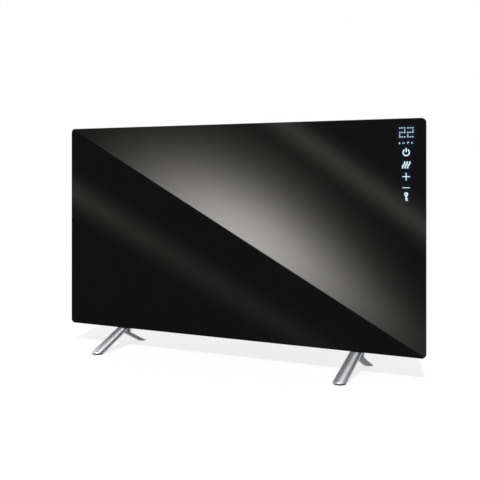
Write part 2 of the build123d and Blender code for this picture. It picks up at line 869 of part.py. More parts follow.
def touch_board():
    board = block(touch_xs, (touch_front, touch_back), touch_zs)
    holes = [pin_y(small_screw + hole_gap, x, z, touch_front, touch_back) for x, z in touch_screw_places]
    return cut_all(board, holes)


def led_display():
    """The two-figure display with its row of small lamps underneath."""
    face = glass_back + module_gap
    body = block((module_left, module_right), (face, touch_front), (module_bottom, module_top))
    figure_zs = around((module_bottom + module_top) / 2 + figure_lift, figure_height / 2)
    for side in (-1, 1):
        x = (module_left + module_right) / 2 + side * figure_pitch / 2
        body = body - block(around(x, figure_width / 2), (face, face + figure_depth), figure_zs)
    return body


def key_plug(z):
    """A conductive foam plug between the board and the glass."""
    plug = pin_y(key_radius, key_column, z, glass_back, touch_front)
    return plug - pin_y(key_hollow_radius, key_column, z, glass_back, glass_back + key_hollow_depth)


def ribbon_cable():
    """A short ribbon from the display down to the power board."""
    top = (touch_back + header_depth / 2, touch_header_zs[0])
    low = (power_back + header_depth / 2, power_header_zs[1])
    bend = (top[1] - low[1]) / 3
    line = Polyline((top[0], top[1]), (top[0], top[1] - bend), (low[0], low[1] + bend), (low[0], low[1]))
    half = ribbon_thickness / 2
    points = [(vertex.X, vertex.Y) for vertex in line.vertices()]
    outline = [(y - half, z) for y, z in points] + [(y + half, z) for y, z in reversed(points)]
    side = Plane(origin=(ribbon_xs[0], 0, 0), x_dir=(0, 1, 0), z_dir=(1, 0, 0))
    return extrude(side * make_face(Polyline(*outline, close=True)), ribbon_width)


# ------------------------------------------------------------------ switch and gland
def switch_body():
    """A snap-in rocker switch: bezel outside the cover, body and cavity inside."""
    front = cover_face - switch_depth
    rim = cover_face + bezel_thickness
    body_xs = around(back_x, switch_body_width / 2)
    body = block(body_xs, (front, cover_face), around(switch_z, switch_body_height / 2))
    bezel = block(around(back_x, bezel_width / 2), (cover_face, rim), around(switch_z, bezel_height / 2))
    bezel = fillet(bezel.edges().filter_by(Axis.Y), bezel_thickness / 2)
    cavity = block(
        around(back_x, rocker_width / 2 + rocker_gap),
        (rocker_y - rocker_radius - rocker_gap, rim),
        around(switch_z, rocker_radius + rocker_gap),
    )
    sockets = rod(
        trunnion_radius + running_gap,
        (back_x - rocker_width / 2 - rocker_gap - trunnion_length, rocker_y, switch_z),
        (back_x + rocker_width / 2 + rocker_gap + trunnion_length, rocker_y, switch_z),
    )
    return body + bezel - cavity - sockets


def switch_rocker():
    """The rocker, pressed to its ON side, on two trunnions."""
    half = rocker_width / 2
    drum = rod(rocker_radius, (back_x - half, rocker_y, switch_z), (back_x + half, rocker_y, switch_z))
    lean = math.tan(math.radians(rocker_tilt))
    crown = rocker_y + rocker_crown
    reach = 2 * rocker_radius
    outline = Polyline(
        (crown + lean * reach, switch_z - reach),
        (crown, switch_z),
        (crown + lean * reach, switch_z + reach),
        (rocker_y - rocker_root, switch_z + reach),
        (rocker_y - rocker_root, switch_z - reach),
        close=True,
    )
    side = Plane(origin=(back_x - half, 0, 0), x_dir=(0, 1, 0), z_dir=(1, 0, 0))
    rocker = drum & extrude(side * make_face(outline), rocker_width)
    trunnion = half + rocker_gap + trunnion_length - running_gap
    rocker = rocker + rod(
        trunnion_radius, (back_x - trunnion, rocker_y, switch_z), (back_x + trunnion, rocker_y, switch_z)
    )
    return rocker.rotate(Axis((back_x, rocker_y, switch_z), (1, 0, 0)), rocker_tilt)


def switch_blades():
    front = cover_face - switch_depth
    xs = around(back_x, blade_width / 2)
    ys = (front - blade_length, front)
    return group(block(xs, ys, around(z, blade_thickness / 2)) for z in switch_blade_zs)


def cord_gland():
    """The bush that the supply cord comes out of, with its thread inside the cover."""
    start = cover_face - sheet - gland_thread
    collar = cover_face + gland_collar
    body = pin_y(gland_radius, back_x, gland_z, start, cover_face)
    flange = nut_y(gland_flange, back_x, gland_z, cover_face, collar)
    nose = pin_y(gland_nose_radius, back_x, gland_z, collar, start + gland_length)
    nose = fillet(nose.edges().sort_by(Axis.Y)[-1], gland_nose_round)
    return body + flange + nose - pin_y(gland_bore, back_x, gland_z, start, start + gland_length)


def gland_nut():
    ys = (cover_face - sheet - gland_nut_height, cover_face - sheet)
    return nut_y(gland_flange, back_x, gland_z, *ys) - pin_y(gland_radius + thread_gap, back_x, gland_z, *ys)


def earth_stud():
    """A stud through the floor of the body, with a nut above and a head below."""
    seat = (earth_stud_x, body_mid, body_bottom)
    head = rod(2 * stud_radius, (earth_stud_x, body_mid, body_bottom - earth_head), seat)
    shank = rod(stud_radius, seat, (earth_stud_x, body_mid, wall_bottom + earth_length))
    nut = nut_z(2 * stud_radius, earth_stud_x, body_mid, wall_bottom, wall_bottom + stud_nut_height)
    return head + shank + nut


# ------------------------------------------------------------------ air sensor
def air_sensor():
    """A temperature bead in a plastic cap that looks out of the floor of the body."""
    seat = (sensor_x, body_mid, body_bottom)
    cap = rod(sensor_cap, (sensor_x, body_mid, body_bottom - sensor_drop), seat)
    stem = rod(sensor_stem, seat, (sensor_x, body_mid, wall_bottom + sensor_length))
    return fillet(cap.edges().sort_by(Axis.Z)[0], 0.4 * sensor_drop) + stem


# ------------------------------------------------------------------ tip-over switch
pin_z = wall_bottom + tilt_height - tilt_pin_drop
tilt_xs = around(tilt_middle, tilt_width / 2)
tilt_ys = around(body_mid, tilt_depth / 2)


def tilt_housing():
    """A moulded box on the floor of the body, open at the back, which carries the pin."""
    box = block(tilt_xs, tilt_ys, (wall_bottom, wall_bottom + tilt_height))
    inner = block(
        (tilt_xs[0] + tilt_wall, tilt_xs[1] - tilt_wall),
        (tilt_ys[0] + tilt_wall, tilt_ys[1]),
        (wall_bottom + tilt_wall, wall_bottom + tilt_height - tilt_wall),
    )
    hole = rod(tilt_pin_radius + running_gap, (tilt_xs[0], body_mid, pin_z), (tilt_xs[1], body_mid, pin_z))
    return box - inner - hole


def tilt_cover():
    """The lid that closes the back of the tip-over switch."""
    return block(tilt_xs, (tilt_ys[1], tilt_ys[1] + sheet / 2), (wall_bottom, wall_bottom + tilt_height))


def tilt_pin():
    return rod(tilt_pin_radius, (tilt_xs[0], body_mid, pin_z), (tilt_xs[1], body_mid, pin_z))


def tilt_pendulum():
    """A weight on an arm that hangs free on the pin."""
    low = pin_z - bob_arm
    near, far = around(tilt_middle, bob_thickness / 2)
    arm = block(around(tilt_middle, arm_width / 2), around(body_mid, arm_width / 2), (low, pin_z))
    eye = rod(2 * tilt_pin_radius, (near, body_mid, pin_z), (far, body_mid, pin_z))
    bob = rod(bob_radius, (near, body_mid, low), (far, body_mid, low))
    hole = rod(tilt_pin_radius + running_gap, (tilt_xs[0], body_mid, pin_z), (tilt_xs[1], body_mid, pin_z))
    return arm + eye + bob - hole


def tilt_sensor():
    """The reed switch under the weight."""
    return block(
        around(tilt_middle, tilt_width / 2 - 2 * tilt_wall),
        around(body_mid, tilt_depth / 4),
        (wall_bottom + tilt_wall, wall_bottom + tilt_wall + reed_height),
    )


# ------------------------------------------------------------------ feet
def leg(side, inset=0.0):
    """An oval bar that leans in from its round toe: side is -1 at the front and 1 at the back."""
    angle = front_angle if side < 0 else rear_angle
    reach = front_reach if side < 0 else rear_reach
    toe = (leg_half_width, front_toe_half_depth) if side < 0 else (rear_half_width, rear_half_depth)
    top = (front_top_half_width, front_top_half_depth) if side < 0 else toe
    lean = Vector(0, -side * math.cos(angle), math.sin(angle))
    foot_end = Vector(0, side * reach, 0)
    run = apex_height / math.sin(angle)
    sections = []
    for place, (half_width, half_depth) in ((foot_end, toe), (foot_end + lean * run, top)):
        face = Plane(origin=place, x_dir=(1, 0, 0), z_dir=lean)
        sections.append(face * Ellipse(half_width - inset, half_depth - inset / 2))
    bar = extrude(sections[0], -2 * leg_half_width) + loft(sections)
    half_width = leg_half_width + toe_margin - inset
    plan = Pos(0, side * (toe_reach - toe_sweep)) * Ellipse(half_width, toe_sweep - inset)
    plan += Pos(0, -side * toe_sweep / 2) * Rectangle(2 * half_width, 2 * toe_reach - toe_sweep)
    return bar & extrude(plan, plate_z)


apex_height = (front_reach + rear_reach) / (1 / math.tan(front_angle) + 1 / math.tan(rear_angle))
neck_y = glass_back + glass_setback + neck_depth / 2
plate_ys = (body_front + sheet, body_back - sheet)
plate_z = body_bottom - plate_thickness


def foot(x):
    """A cast V: two oval legs, a neck that rises behind the glass, and a plate under the body."""
    legs = leg(-1) + leg(1)
    legs = legs & block(around(0, leg_half_width), around(0, toe_reach), (pad_thickness, plate_z))
    seat = block(
        around(0, leg_half_width),
        (-toe_reach / 2, glass_back + under_glass_gap),
        (glass_lift - under_glass_gap, plate_z),
    )
    legs = legs - seat
    low = Pos(0, neck_y, neck_base) * RectangleRounded(neck_width, neck_depth, neck_corner)
    neck_top = plate_ys[1] - plate_ys[0] - 2 * neck_inset
    high = Pos(0, body_mid, plate_z) * RectangleRounded(neck_width + 2 * neck_flare, neck_top, neck_corner)
    neck = loft([low, high])
    plate = block(around(0, plate_width / 2), plate_ys, (plate_z, body_bottom))
    plate = fillet(plate.edges().filter_by(Axis.Z), plate_corner)
    casting = legs + neck + plate
    for side in (-1, 1):
        spot = side * foot_screw_spacing / 2
        casting = casting - rod(
            foot_screw_radius + hole_gap, (spot, body_mid, plate_z), (spot, body_mid, body_bottom)
        )
    return Pos(x, 0, 0) * casting


def foot_pad(x, side):
    """A rubber sole, set in a little from the edge of the toe."""
    sole = leg(side, pad_inset)
    keep = block(around(0, leg_half_width), around(0, toe_reach), (0, pad_thickness))
    return Pos(x, 0, 0) * (sole & keep)


def foot_screw(x):
    """A button-head screw from under the plate up into the nut."""
    head_base = plate_z - foot_screw_head_height
    head = rod(foot_screw_head, (x, body_mid, head_base), (x, body_mid, plate_z))
    head = fillet(head.edges().sort_by(Axis.Z)[0], 0.6 * foot_screw_head_height)
    tip = wall_bottom + nut_plate_thickness + nut_height + foot_screw_tip
    shank = rod(foot_screw_radius, (x, body_mid, plate_z), (x, body_mid, tip))
    socket = nut_z(foot_socket_radius, x, body_mid, head_base, head_base + 0.6 * foot_screw_head_height)
    return head + shank - socket


def nut_plate(x):
    """A steel plate inside the floor of the body, with two welded nuts."""
    base = wall_bottom + nut_plate_thickness
    ys = (plate_ys[0] + sheet, plate_ys[1] - sheet)
    plate = block(around(x, plate_width / 2), ys, (wall_bottom, base))
    for side in (-1, 1):
        spot = x + side * foot_screw_spacing / 2
        plate = plate + nut_z(nut_radius, spot, body_mid, base, base + nut_height)
        plate = plate - rod(
            foot_screw_radius + thread_gap, (spot, body_mid, wall_bottom), (spot, body_mid, base + nut_height)
        )
    return plate


# ------------------------------------------------------------------ back details
def hanger_screw_places():
    wing = hanger_width / 2 + hanger_wing / 2
    return [
        (side * hanger_x + end * wing, panel_z + hanger_height + row * hanger_length / 3)
        for side in (-1, 1)
        for end in (-1, 1)
        for row in (-1, 1)
    ]


def bumper_places():
    return [(side * hanger_x, panel_z - hanger_height) for side in (-1, 1)]


def wall_hanger(side):
    """A hat-shaped bracket with a keyhole, which hooks over a screw in the wall."""
    x = side * hanger_x
    z = panel_z + hanger_height
    zs = around(z, hanger_length / 2)
    top = cover_face + hanger_stand
    half = hanger_width / 2
    hat = block(around(x, half + hanger_wing), (cover_face, cover_face + hanger_sheet), zs)
    hat = hat + block(around(x, half), (cover_face, top), zs)
    hat = hat - block(around(x, half - hanger_sheet), (cover_face, top - hanger_sheet), zs)
    hat = fillet(hat.edges().filter_by(Axis.Z).group_by(Axis.Y)[-1], hanger_sheet * 0.9)
    hat = hat - pin_y(keyhole_radius, x, z, top - hanger_sheet, top)
    slot = upright(
        Pos(0, keyhole_travel / 2) * SlotOverall(keyhole_travel + keyhole_slot, keyhole_slot, rotation=90),
        top - hanger_sheet,
        top,
        x,
        z,
    )
    hat = hat - slot
    for place_x, place_z in hanger_screw_places():
        if abs(place_x - x) < half + hanger_wing:
            hat = hat - pin_y(
                small_screw + hole_gap, place_x, place_z, cover_face, cover_face + hanger_sheet
            )
    return hat


def wall_bumper(x, z):
    """A rubber stop that keeps the lower edge parallel to the wall."""
    top = cover_face + hanger_stand
    floor = cover_face + bumper_floor
    stop = pin_y(bumper_radius, x, z, cover_face, top)
    stop = fillet(stop.edges().sort_by(Axis.Y)[-1], 0.2 * bumper_radius)
    well = pin_y(small_head + 4 * hole_gap, x, z, floor, top)
    return stop - well - pin_y(small_screw + hole_gap, x, z, cover_face, floor)


def clip_nut(x, z):
    """A captive nut behind the rear lip."""
    ys = (lip_front - clip_thickness, lip_front)
    nut = block(around(x, clip_size / 2), ys, around(z, clip_size / 2))
    return nut - pin_y(cover_screw + thread_gap, x, z, *ys)


def rating_plate():
    """A bare metal plate on the back."""
    xs = around(-hanger_x / 2, rating_width / 2)
    zs = around(panel_z - rating_drop, rating_height / 2)
    plate = block(xs, (cover_face, cover_face + rating_thickness), zs)
    return fillet(plate.edges().filter_by(Axis.Y), rating_corner)


# ------------------------------------------------------------------ leads inside the body
def lead(name, points):
    """A round lead on straight runs joined by tangent arcs, as wide as the runs allow."""
    corners = [Vector(*point) for point in points]
    radii = []
    for before, corner, after in zip(corners, corners[1:], corners[2:]):
        arrive, leave = corner - before, after - corner
        half_turn = math.radians(arrive.get_angle(leave)) / 2
        radii.append(0.45 * min(arrive.length, leave.length) / math.tan(half_turn))
    path = FilletPolyline(*points, radius=radii)
    tube = sweep(Plane(origin=points[0], z_dir=corners[1] - corners[0]) * Circle(lead_radius), path=path)
    share = tube.volume / (math.pi * lead_radius**2 * path.length)
    print(name, "radii", [round(radius, 1) for radius in radii])
    print(name, "volume over section times length", round(share, 4))
    return tube


def leads():
    """Leads from the terminal block to the switch, the earth stud, the cutouts and the studs."""
    entry = terminal_zs[0]
    low_stud, high_stud = stud_zs
    low_cut, high_cut = cutout_zs
    lug_y = stud_nut_back + lead_radius
    back = cover_face - sheet - 5 * lead_radius
    near = cutout_x + blade_reach - blade_thickness / 2
    far = cutout_x - blade_reach + blade_thickness / 2
    pass_low = grommet_z - 3 * lead_radius
    pass_high = grommet_z + 3 * lead_radius
    live = [
        (near, blade_tip, low_cut),
        (near, back, low_cut),
        (near + 30.0, back, low_cut - 16.0),
        (divider_x - 30.0, body_mid + 10.0, pass_high + 12.0),
        (divider_x - 11.0, body_mid + 2.0, pass_high),
        (divider_x + 13.0, body_mid, pass_high + 1.0),
        (terminal_xs[0], lead_y, pass_high + 17.0),
        (terminal_xs[0], lead_y, entry),
    ]
    neutral = [
        (stud_x + stud_radius, lug_y, low_stud),
        (stud_x + 14.0, lug_y, low_stud),
        (divider_x - 7.0, body_mid + 3.0, pass_low - 2.0),
        (divider_x + 15.0, body_mid, pass_low),
        (terminal_xs[1], lead_y, pass_low + 16.0),
        (terminal_xs[1], lead_y, entry),
    ]
    link = [
        (far, blade_tip, low_cut),
        (far, back, low_cut),
        (far - 14.0, back, low_cut + 30.0),
        (far - 14.0, back, high_cut - 30.0),
        (far, back, high_cut),
        (far, blade_tip, high_cut),
    ]
    upper = [
        (near, blade_tip, high_cut),
        (near, back, high_cut),
        (near + 24.0, back, high_cut + 18.0),
        (stud_x - 20.0, back - 4.0, high_stud - 44.0),
        (stud_x, lug_y, high_stud - 20.0),
        (stud_x, lug_y, high_stud - stud_radius),
    ]
    blade = cover_face - switch_depth - blade_length
    low_blade, high_blade = switch_blade_zs
    switched = [
        [
            (back_x, blade, high_blade),
            (back_x, blade - 11.0, high_blade),
            (back_x + 5.0, blade - 12.0, high_blade + 13.0),
            (terminal_xs[4], lead_y, entry - 12.0),
            (terminal_xs[4], lead_y, entry),
        ],
        [
            (back_x, blade, low_blade),
            (back_x, blade - 11.0, low_blade),
            (back_x - 5.0, blade - 13.0, low_blade + 12.0),
            (back_x - 3.0, blade - 8.0, low_blade + 29.0),
            (terminal_xs[3], lead_y, entry - 9.0),
            (terminal_xs[3], lead_y, entry),
        ],
    ]
    earth = [
        (earth_stud_x, body_mid, wall_bottom + earth_length),
        (earth_stud_x, body_mid, wall_bottom + earth_length + 16.0),
        (earth_stud_x - 13.0, body_mid, wall_bottom + earth_length + 36.0),
        (terminal_xs[2] + 2.0, body_mid - 1.0, entry - 55.0),
        (terminal_xs[2], lead_y, entry - 30.0),
        (terminal_xs[2], lead_y, entry),
    ]
    looms = {"heater_leads": [live, neutral, link, upper], "control_leads": switched + [earth]}
    for name, runs in looms.items():
        save(name, group(lead(f"{name} {number}", run) for number, run in enumerate(runs, 1)))


# ------------------------------------------------------------------ write every piece
os.makedirs("parts", exist_ok=True)

save("glass_front", glass_front())
save("bonding_seal", bonding_seal())
save("support_frame", support_frame())
save("rear_cover", rear_cover())

save("heat_spreader", stack_sheet(glass_back, glass_back + spreader_thickness, []))
save("heating_track", heating_track())
save(
    "mica_sheets",
    group(
        [
            stack_sheet(glass_back + spreader_thickness, track_front, []),
            stack_sheet(track_back, foil_front, stud_holes(hole_gap)),
        ]
    ),
)
save("reflector_foil", stack_sheet(foil_front, board_front, stud_holes(hole_gap)))
save("insulation_board", insulation_board())
save("insulation_straps", group(insulation_strap(x) for x in strap_xs))
save("thermal_cutouts", group(thermal_cutout(z) for z in cutout_zs))
save("terminal_bushes", group(terminal_bush(z) for z in stud_zs))
save("terminal_studs", group(terminal_stud(z) for z in stud_zs))

save("divider_rail", divider_rail())
save("divider_grommet", grommet())
save("control_box", control_box())
save("control_lid", control_lid())
save("power_board", power_board())
save("terminal_block", terminal_block())
save("power_relay", power_relay())
save("transformer", transformer())
save("capacitors", capacitors())
save("control_chips", control_chips())
save("fuse", fuse())
save("fuse_clips", fuse_clips())
save("triac_sink", triac_sink())

save("display_carrier", display_carrier())
save("touch_board", touch_board())
save("buzzer", buzzer())
save("led_display", led_display())
save("key_plugs", group(key_plug(z) for z in key_zs))
save(
    "ribbon_headers",
    group(
        [
            block(header_xs, (touch_back, touch_back + header_depth), touch_header_zs),
            block(header_xs, (power_back, power_back + header_depth), power_header_zs),
        ]
    ),
)
save("ribbon_cable", ribbon_cable())

save("switch_body", switch_body())
save("switch_rocker", switch_rocker())
save("switch_blades", switch_blades())
save("cord_gland", cord_gland())
save("gland_nut", gland_nut())
save("earth_stud", earth_stud())
save("air_sensor", air_sensor())

save("tilt_housing", tilt_housing())
save("tilt_cover", tilt_cover())
save("tilt_pin", tilt_pin())
save("tilt_pendulum", tilt_pendulum())
save("tilt_sensor", tilt_sensor())

for side_name, foot_x in zip(("left", "right"), foot_xs):
    save(f"foot_{side_name}", foot(foot_x))
    save(f"foot_pads_{side_name}", group(foot_pad(foot_x, side) for side in (-1, 1)))
save("foot_screws", group(foot_screw(x) for x in foot_screw_xs))
save("nut_plates", group(nut_plate(x) for x in foot_xs))

save("wall_hangers", group(wall_hanger(side) for side in (-1, 1)))
save("wall_bumpers", group(wall_bumper(x, z) for x, z in bumper_places()))
save("rating_plate", rating_plate())

save(
    "cover_screws",
    group(
        screw_y(
            cover_screw,
            cover_head,
            cover_head_height,
            x,
            panel_z + z,
            body_back + sheet,
            body_back + sheet - cover_screw_length,
        )
        for x, z in cover_screw_places
    ),
)
save("clip_nuts", group(clip_nut(x, panel_z + z) for x, z in cover_screw_places))
flange_screws = [
    screw_y(small_screw, small_head, small_head_height, x, z, seat, body_front - flange_tip)
    for (x, z), seat in zip(
        flange_screw_places(),
        [flange_back + sheet] * (2 * len(strap_xs) + 2) + [box_front + box_wall] * len(tab_centres),
    )
]
flange_screws += [
    screw_y(small_screw, small_head, small_head_height, divider_screw_x, z, box_front + box_wall, flange_back)
    for z in tab_centres
]
board_screws = [
    screw_y(small_screw, small_head, small_head_height, x, z, power_back, power_front - board_tip)
    for x, z in board_screw_places
]
board_screws += [
    screw_y(small_screw, touch_head, small_head_height, x, z, touch_back, touch_front - board_tip)
    for x, z in touch_screw_places
]
save("inner_screws", group(flange_screws + board_screws))
back_seats = [(x, z, cover_face + hanger_sheet) for x, z in hanger_screw_places()]
back_seats += [(x, z, cover_face + bumper_floor) for x, z in bumper_places()]
back_screws = [
    screw_y(small_screw, small_head, small_head_height, x, z, seat, cover_face - back_tip)
    for x, z, seat in back_seats
]
save("back_screws", group(back_screws))
leads()
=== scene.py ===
import math

import bpy
import numpy as np
from mathutils import Matrix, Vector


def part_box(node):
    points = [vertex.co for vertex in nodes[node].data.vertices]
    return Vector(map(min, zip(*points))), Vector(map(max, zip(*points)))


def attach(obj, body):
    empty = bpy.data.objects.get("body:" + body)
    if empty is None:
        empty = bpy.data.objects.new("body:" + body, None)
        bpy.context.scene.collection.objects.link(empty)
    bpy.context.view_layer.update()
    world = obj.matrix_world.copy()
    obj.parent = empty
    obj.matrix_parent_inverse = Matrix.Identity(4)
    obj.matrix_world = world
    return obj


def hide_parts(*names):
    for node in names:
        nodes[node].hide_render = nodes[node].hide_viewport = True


# An infrared panel heater: black glass front with lit keys, steel body, two aluminium V feet.
# Metres. X along the width, Y from the glass towards the back, Z up from the floor.

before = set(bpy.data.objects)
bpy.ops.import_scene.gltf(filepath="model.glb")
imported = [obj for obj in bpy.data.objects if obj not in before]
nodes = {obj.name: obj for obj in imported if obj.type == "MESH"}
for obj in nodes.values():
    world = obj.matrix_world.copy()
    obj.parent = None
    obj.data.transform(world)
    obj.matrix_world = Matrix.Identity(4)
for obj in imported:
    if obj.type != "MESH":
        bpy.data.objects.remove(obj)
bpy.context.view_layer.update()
glassLow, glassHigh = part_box("glass_front")
glassFront = glassLow.y
print("frame loaded:", len(nodes), "nodes")

camera = {
    "place": (0.7939, -1.4968, 0.38685),
    "turn": 27.12,  # degrees to the left of straight ahead
    "lens": 60.75,
    "sensor": 36.0,
    "fall": 0.1363,  # share of the picture by which the level view is lowered
    "farthest": 50.0,
}


def makeCamera():
    # level and turned to the left, with the picture shifted down rather than the camera tilted
    data = bpy.data.cameras.new("camera")
    data.lens = camera["lens"]
    data.sensor_width = camera["sensor"]
    data.shift_y = -camera["fall"]
    data.clip_end = camera["farthest"]
    made = bpy.data.objects.new("camera", data)
    bpy.context.scene.collection.objects.link(made)
    turn = Matrix.Rotation(math.radians(camera["turn"]), 4, "Z")
    level = Matrix.Rotation(math.radians(90.0), 4, "X")
    made.matrix_world = Matrix.Translation(camera["place"]) @ turn @ level
    bpy.context.scene.camera = made


makeCamera()
print("camera in place")


class Shade:
    # A socket in a tree of nodes. Its operators add Math nodes, and node() adds any other node.
    def __init__(self, tree, socket=None):
        self.tree = tree
        self.socket = socket

    def node(self, kind, settings=None, inputs=None, output=0):
        # a node of any kind: its settings first, then a value or a link for each socket
        made = self.tree.nodes.new(kind)
        for name, value in (settings or {}).items():
            setattr(made, name, value)
        for name, value in (inputs or {}).items():
            if isinstance(value, Shade):
                self.tree.links.new(value.socket, made.inputs[name])
            else:
                made.inputs[name].default_value = value
        return Shade(self.tree, made.outputs[output]) if made.outputs else None

    def maths(self, operation, *values):
        return self.node("ShaderNodeMath", {"operation": operation}, dict(enumerate(values)))

    def __add__(self, other):
        return self.maths("ADD", self, other)

    def __radd__(self, other):
        return self.maths("ADD", other, self)

    def __sub__(self, other):
        return self.maths("SUBTRACT", self, other)

    def __rsub__(self, other):
        return self.maths("SUBTRACT", other, self)

    def __mul__(self, other):
        return self.maths("MULTIPLY", self, other)

    def __rmul__(self, other):
        return self.maths("MULTIPLY", other, self)

    def __truediv__(self, other):
        return self.maths("DIVIDE", self, other)

    def __rtruediv__(self, other):
        return self.maths("DIVIDE", other, self)

    def __abs__(self):
        return self.maths("ABSOLUTE", self)

    def least(self, other):
        return self.maths("MINIMUM", self, other)

    def most(self, other):
        return self.maths("MAXIMUM", self, other)

    def exponent(self):
        # e to the power of this
        return self.maths("EXPONENT", self)

    def bell(self):
        # e to minus the square: 1 in the middle, near nothing past 2
        return (self * self * -1.0).exponent()

    def wave(self, pitch):
        # goes from 0 to 1 and back once in each pitch
        return self.maths("SINE", self * (2.0 * math.pi / pitch)) * 0.5 + 0.5

    def between(self, low, high):
        # 0 at low and below, 1 at high and above, smooth in the middle
        return self.node(
            "ShaderNodeMapRange",
            {"interpolation_type": "SMOOTHSTEP"},
            {"Value": self, "From Min": low, "From Max": high, "To Min": 0.0, "To Max": 1.0},
        )

    def parts(self):
        # x, y and z of a place, or red, green and blue of a colour
        return [self.node("ShaderNodeSeparateXYZ", None, {0: self}, output) for output in range(3)]

    def mix(self, low, high):
        # the colour low where this is 0, high where it is 1
        return self.node(
            "ShaderNodeMix", {"data_type": "RGBA"}, {0: self, 6: colour4(low), 7: colour4(high)}, output=2
        )

    def tinted(self, tint):
        # this times a colour, also above 1
        return self.node("ShaderNodeVectorMath", {"operation": "SCALE"}, {0: tint, "Scale": self})

    def rays(self, *names):
        # 1 for any of these kinds of ray
        found = [self.node("ShaderNodeLightPath", output=name) for name in names]
        for other in found[1:]:
            found[0] = found[0].most(other)
        return found[0]

    def noise(self, scale, detail=3.0, roughness=0.5):
        # scale is one number, or one for each axis
        if isinstance(scale, tuple):
            spread = self.node("ShaderNodeMapping", None, {"Vector": self, "Scale": scale})
            return spread.noise(1.0, detail, roughness)
        inputs = {"Vector": self, "Scale": scale, "Detail": detail, "Roughness": roughness}
        return self.node("ShaderNodeTexNoise", None, inputs)

    def cells(self, scale, feature="F1", output=0):
        # random cells: how far the nearest middle or edge is, or a colour for each cell
        inputs = {"Vector": self, "Scale": scale}
        return self.node("ShaderNodeTexVoronoi", {"feature": feature}, inputs, output)

    def bump(self, distance):
        # a surface raised by this times the distance
        return self.node("ShaderNodeBump", None, {"Height": self, "Distance": distance})


def colour4(value):
    # a colour with its fourth number, or a socket as it is
    if isinstance(value, Shade) or len(value) == 4:
        return value
    return (*value, 1.0)


def newTree(owner):
    # an empty tree of nodes
    owner.use_nodes = True
    owner.node_tree.nodes.clear()
    return Shade(owner.node_tree)


studio = {
    "ambient": 0.55,  # what reaches matt surfaces from all round
    "room": 1.0,  # what gloss sees behind and beside the heater
    "front": 0.075,  # what gloss sees in front of the glass
    "frontAhead": (0.1, 0.5),  # a pair is where a change starts and ends, along a ray's x, y or z
    "frontUp": (0.14, 0.36),
    "frontRight": (0.1, 0.6),
    "roof": 1.35,
    "roofUp": (0.25, 0.6),
    "roofAhead": 0.52,  # the roof in front of the glass
    "roofBack": (-0.15, 0.1),
    "strip": 6.4,  # a long soft box overhead, from front to back
    "stripAcross": 0.015,
    "stripWidth": 0.15,
    "flag": 0.05,  # a dark screen far to the right
    "flagRight": (0.45, 0.68),
    "flagUp": (0.35, 0.6),
    "flagBack": (-0.8, -0.4),
    "under": 0.14,  # straight down, where the heater shades the floor
    "underUp": (-0.85, -0.15),
    "keyHeight": 51.0,  # degrees above the floor
    "keySide": 19.0,  # and to the right
    "keyWidth": 3.0,
    "shadowShare": 0.135,  # how much of the white floor the key light gives
    "floorAlbedo": 0.3,
    "floorWhite": 1.04,  # what the floor gives the camera where nothing shades it
    "floorReach": 12.0,
    "floorPlain": 0.8,  # how pale the floor is to light that it sends on
}
# The soft panel of light that the glass mirrors, laid out on the glass as the camera sees it:
# across from the left end, down from the top edge, both from 0 to 1.
sheen = {
    "power": 4.948,
    "edge": (0.0015, 0.0045),  # across the diagonal, from dark to light
    "middle": 0.53,  # along the diagonal
    "spreadLow": 0.24,
    "spreadHigh": 0.25,
    "width": 0.38,  # away from the diagonal
    "taper": 0.27,
    "leastWidth": 0.05,
    "veil": 0.046,
    "streak": 0.333,
    "streakStart": 0.646,
    "streakLean": 0.774,
    "streakWidth": 0.048,
    "lowVeil": 0.036,
    "lowStreak": 0.247,
    "lowStart": 0.32,
    "lowLean": 0.92,
    "lowWidth": 0.071,
    "lowFade": 0.55,
    "left": (-0.5, -0.15),  # where the panel fades in and out, past the edges of the glass
    "right": (1.1, 1.6),
    "top": (-0.7, -0.25),
    "bottom": (1.25, 2.2),
    "leastAhead": 0.05,  # keeps rays that run along the glass finite
    "tint": (1.0, 0.985, 0.93),
}


def glassPlace(x, y, z):
    # A mirrored ray seems to come from a point as far behind the glass as the camera is in front.
    # It crosses the glass at the camera's x and z, plus that depth times x / -y and z / -y.
    cameraX, cameraY, cameraZ = camera["place"]
    depth = glassFront - cameraY
    ahead = (0.0 - y).most(sheen["leastAhead"])
    across = (x / ahead * depth + (cameraX - glassLow.x)) / (glassHigh.x - glassLow.x)
    down = ((glassHigh.z - cameraZ) - z / ahead * depth) / (glassHigh.z - glassLow.z)
    return across, down, ahead


def sheenLight(across, down):
    # Above the diagonal, a bell along it times a bell away from it, and a faint streak.
    # Below it, a fainter streak that fades to the right as e to minus the share across.
    along = (across + down) * 0.5
    away = across - down
    lowSide = (along - sheen["middle"]) / sheen["spreadLow"]
    highSide = (along - sheen["middle"]) / sheen["spreadHigh"]
    lengthwise = lowSide.least(0.0).bell() * highSide.most(0.0).bell()
    reach = (sheen["width"] - along * sheen["taper"]).most(sheen["leastWidth"])
    above = away.between(*sheen["edge"])
    glow = lengthwise * (away / reach).bell() * sheen["power"]
    streak = ((across - sheen["streakStart"] - down * sheen["streakLean"]) / sheen["streakWidth"]).bell()
    upper = glow + streak * sheen["streak"] + sheen["veil"]
    lowBand = ((down - sheen["lowStart"] - across * sheen["lowLean"]) / sheen["lowWidth"]).bell()
    fade = (across.most(0.0) / -sheen["lowFade"]).exponent()
    lower = lowBand * fade * sheen["lowStreak"] + sheen["lowVeil"]
    light = above * upper + (1.0 - above) * lower
    inside = (
        across.between(*sheen["left"])
        * (1.0 - across.between(*sheen["right"]))
        * down.between(*sheen["top"])
        * (1.0 - down.between(*sheen["bottom"]))
    )
    return light * inside + (1.0 - inside) * studio["front"]


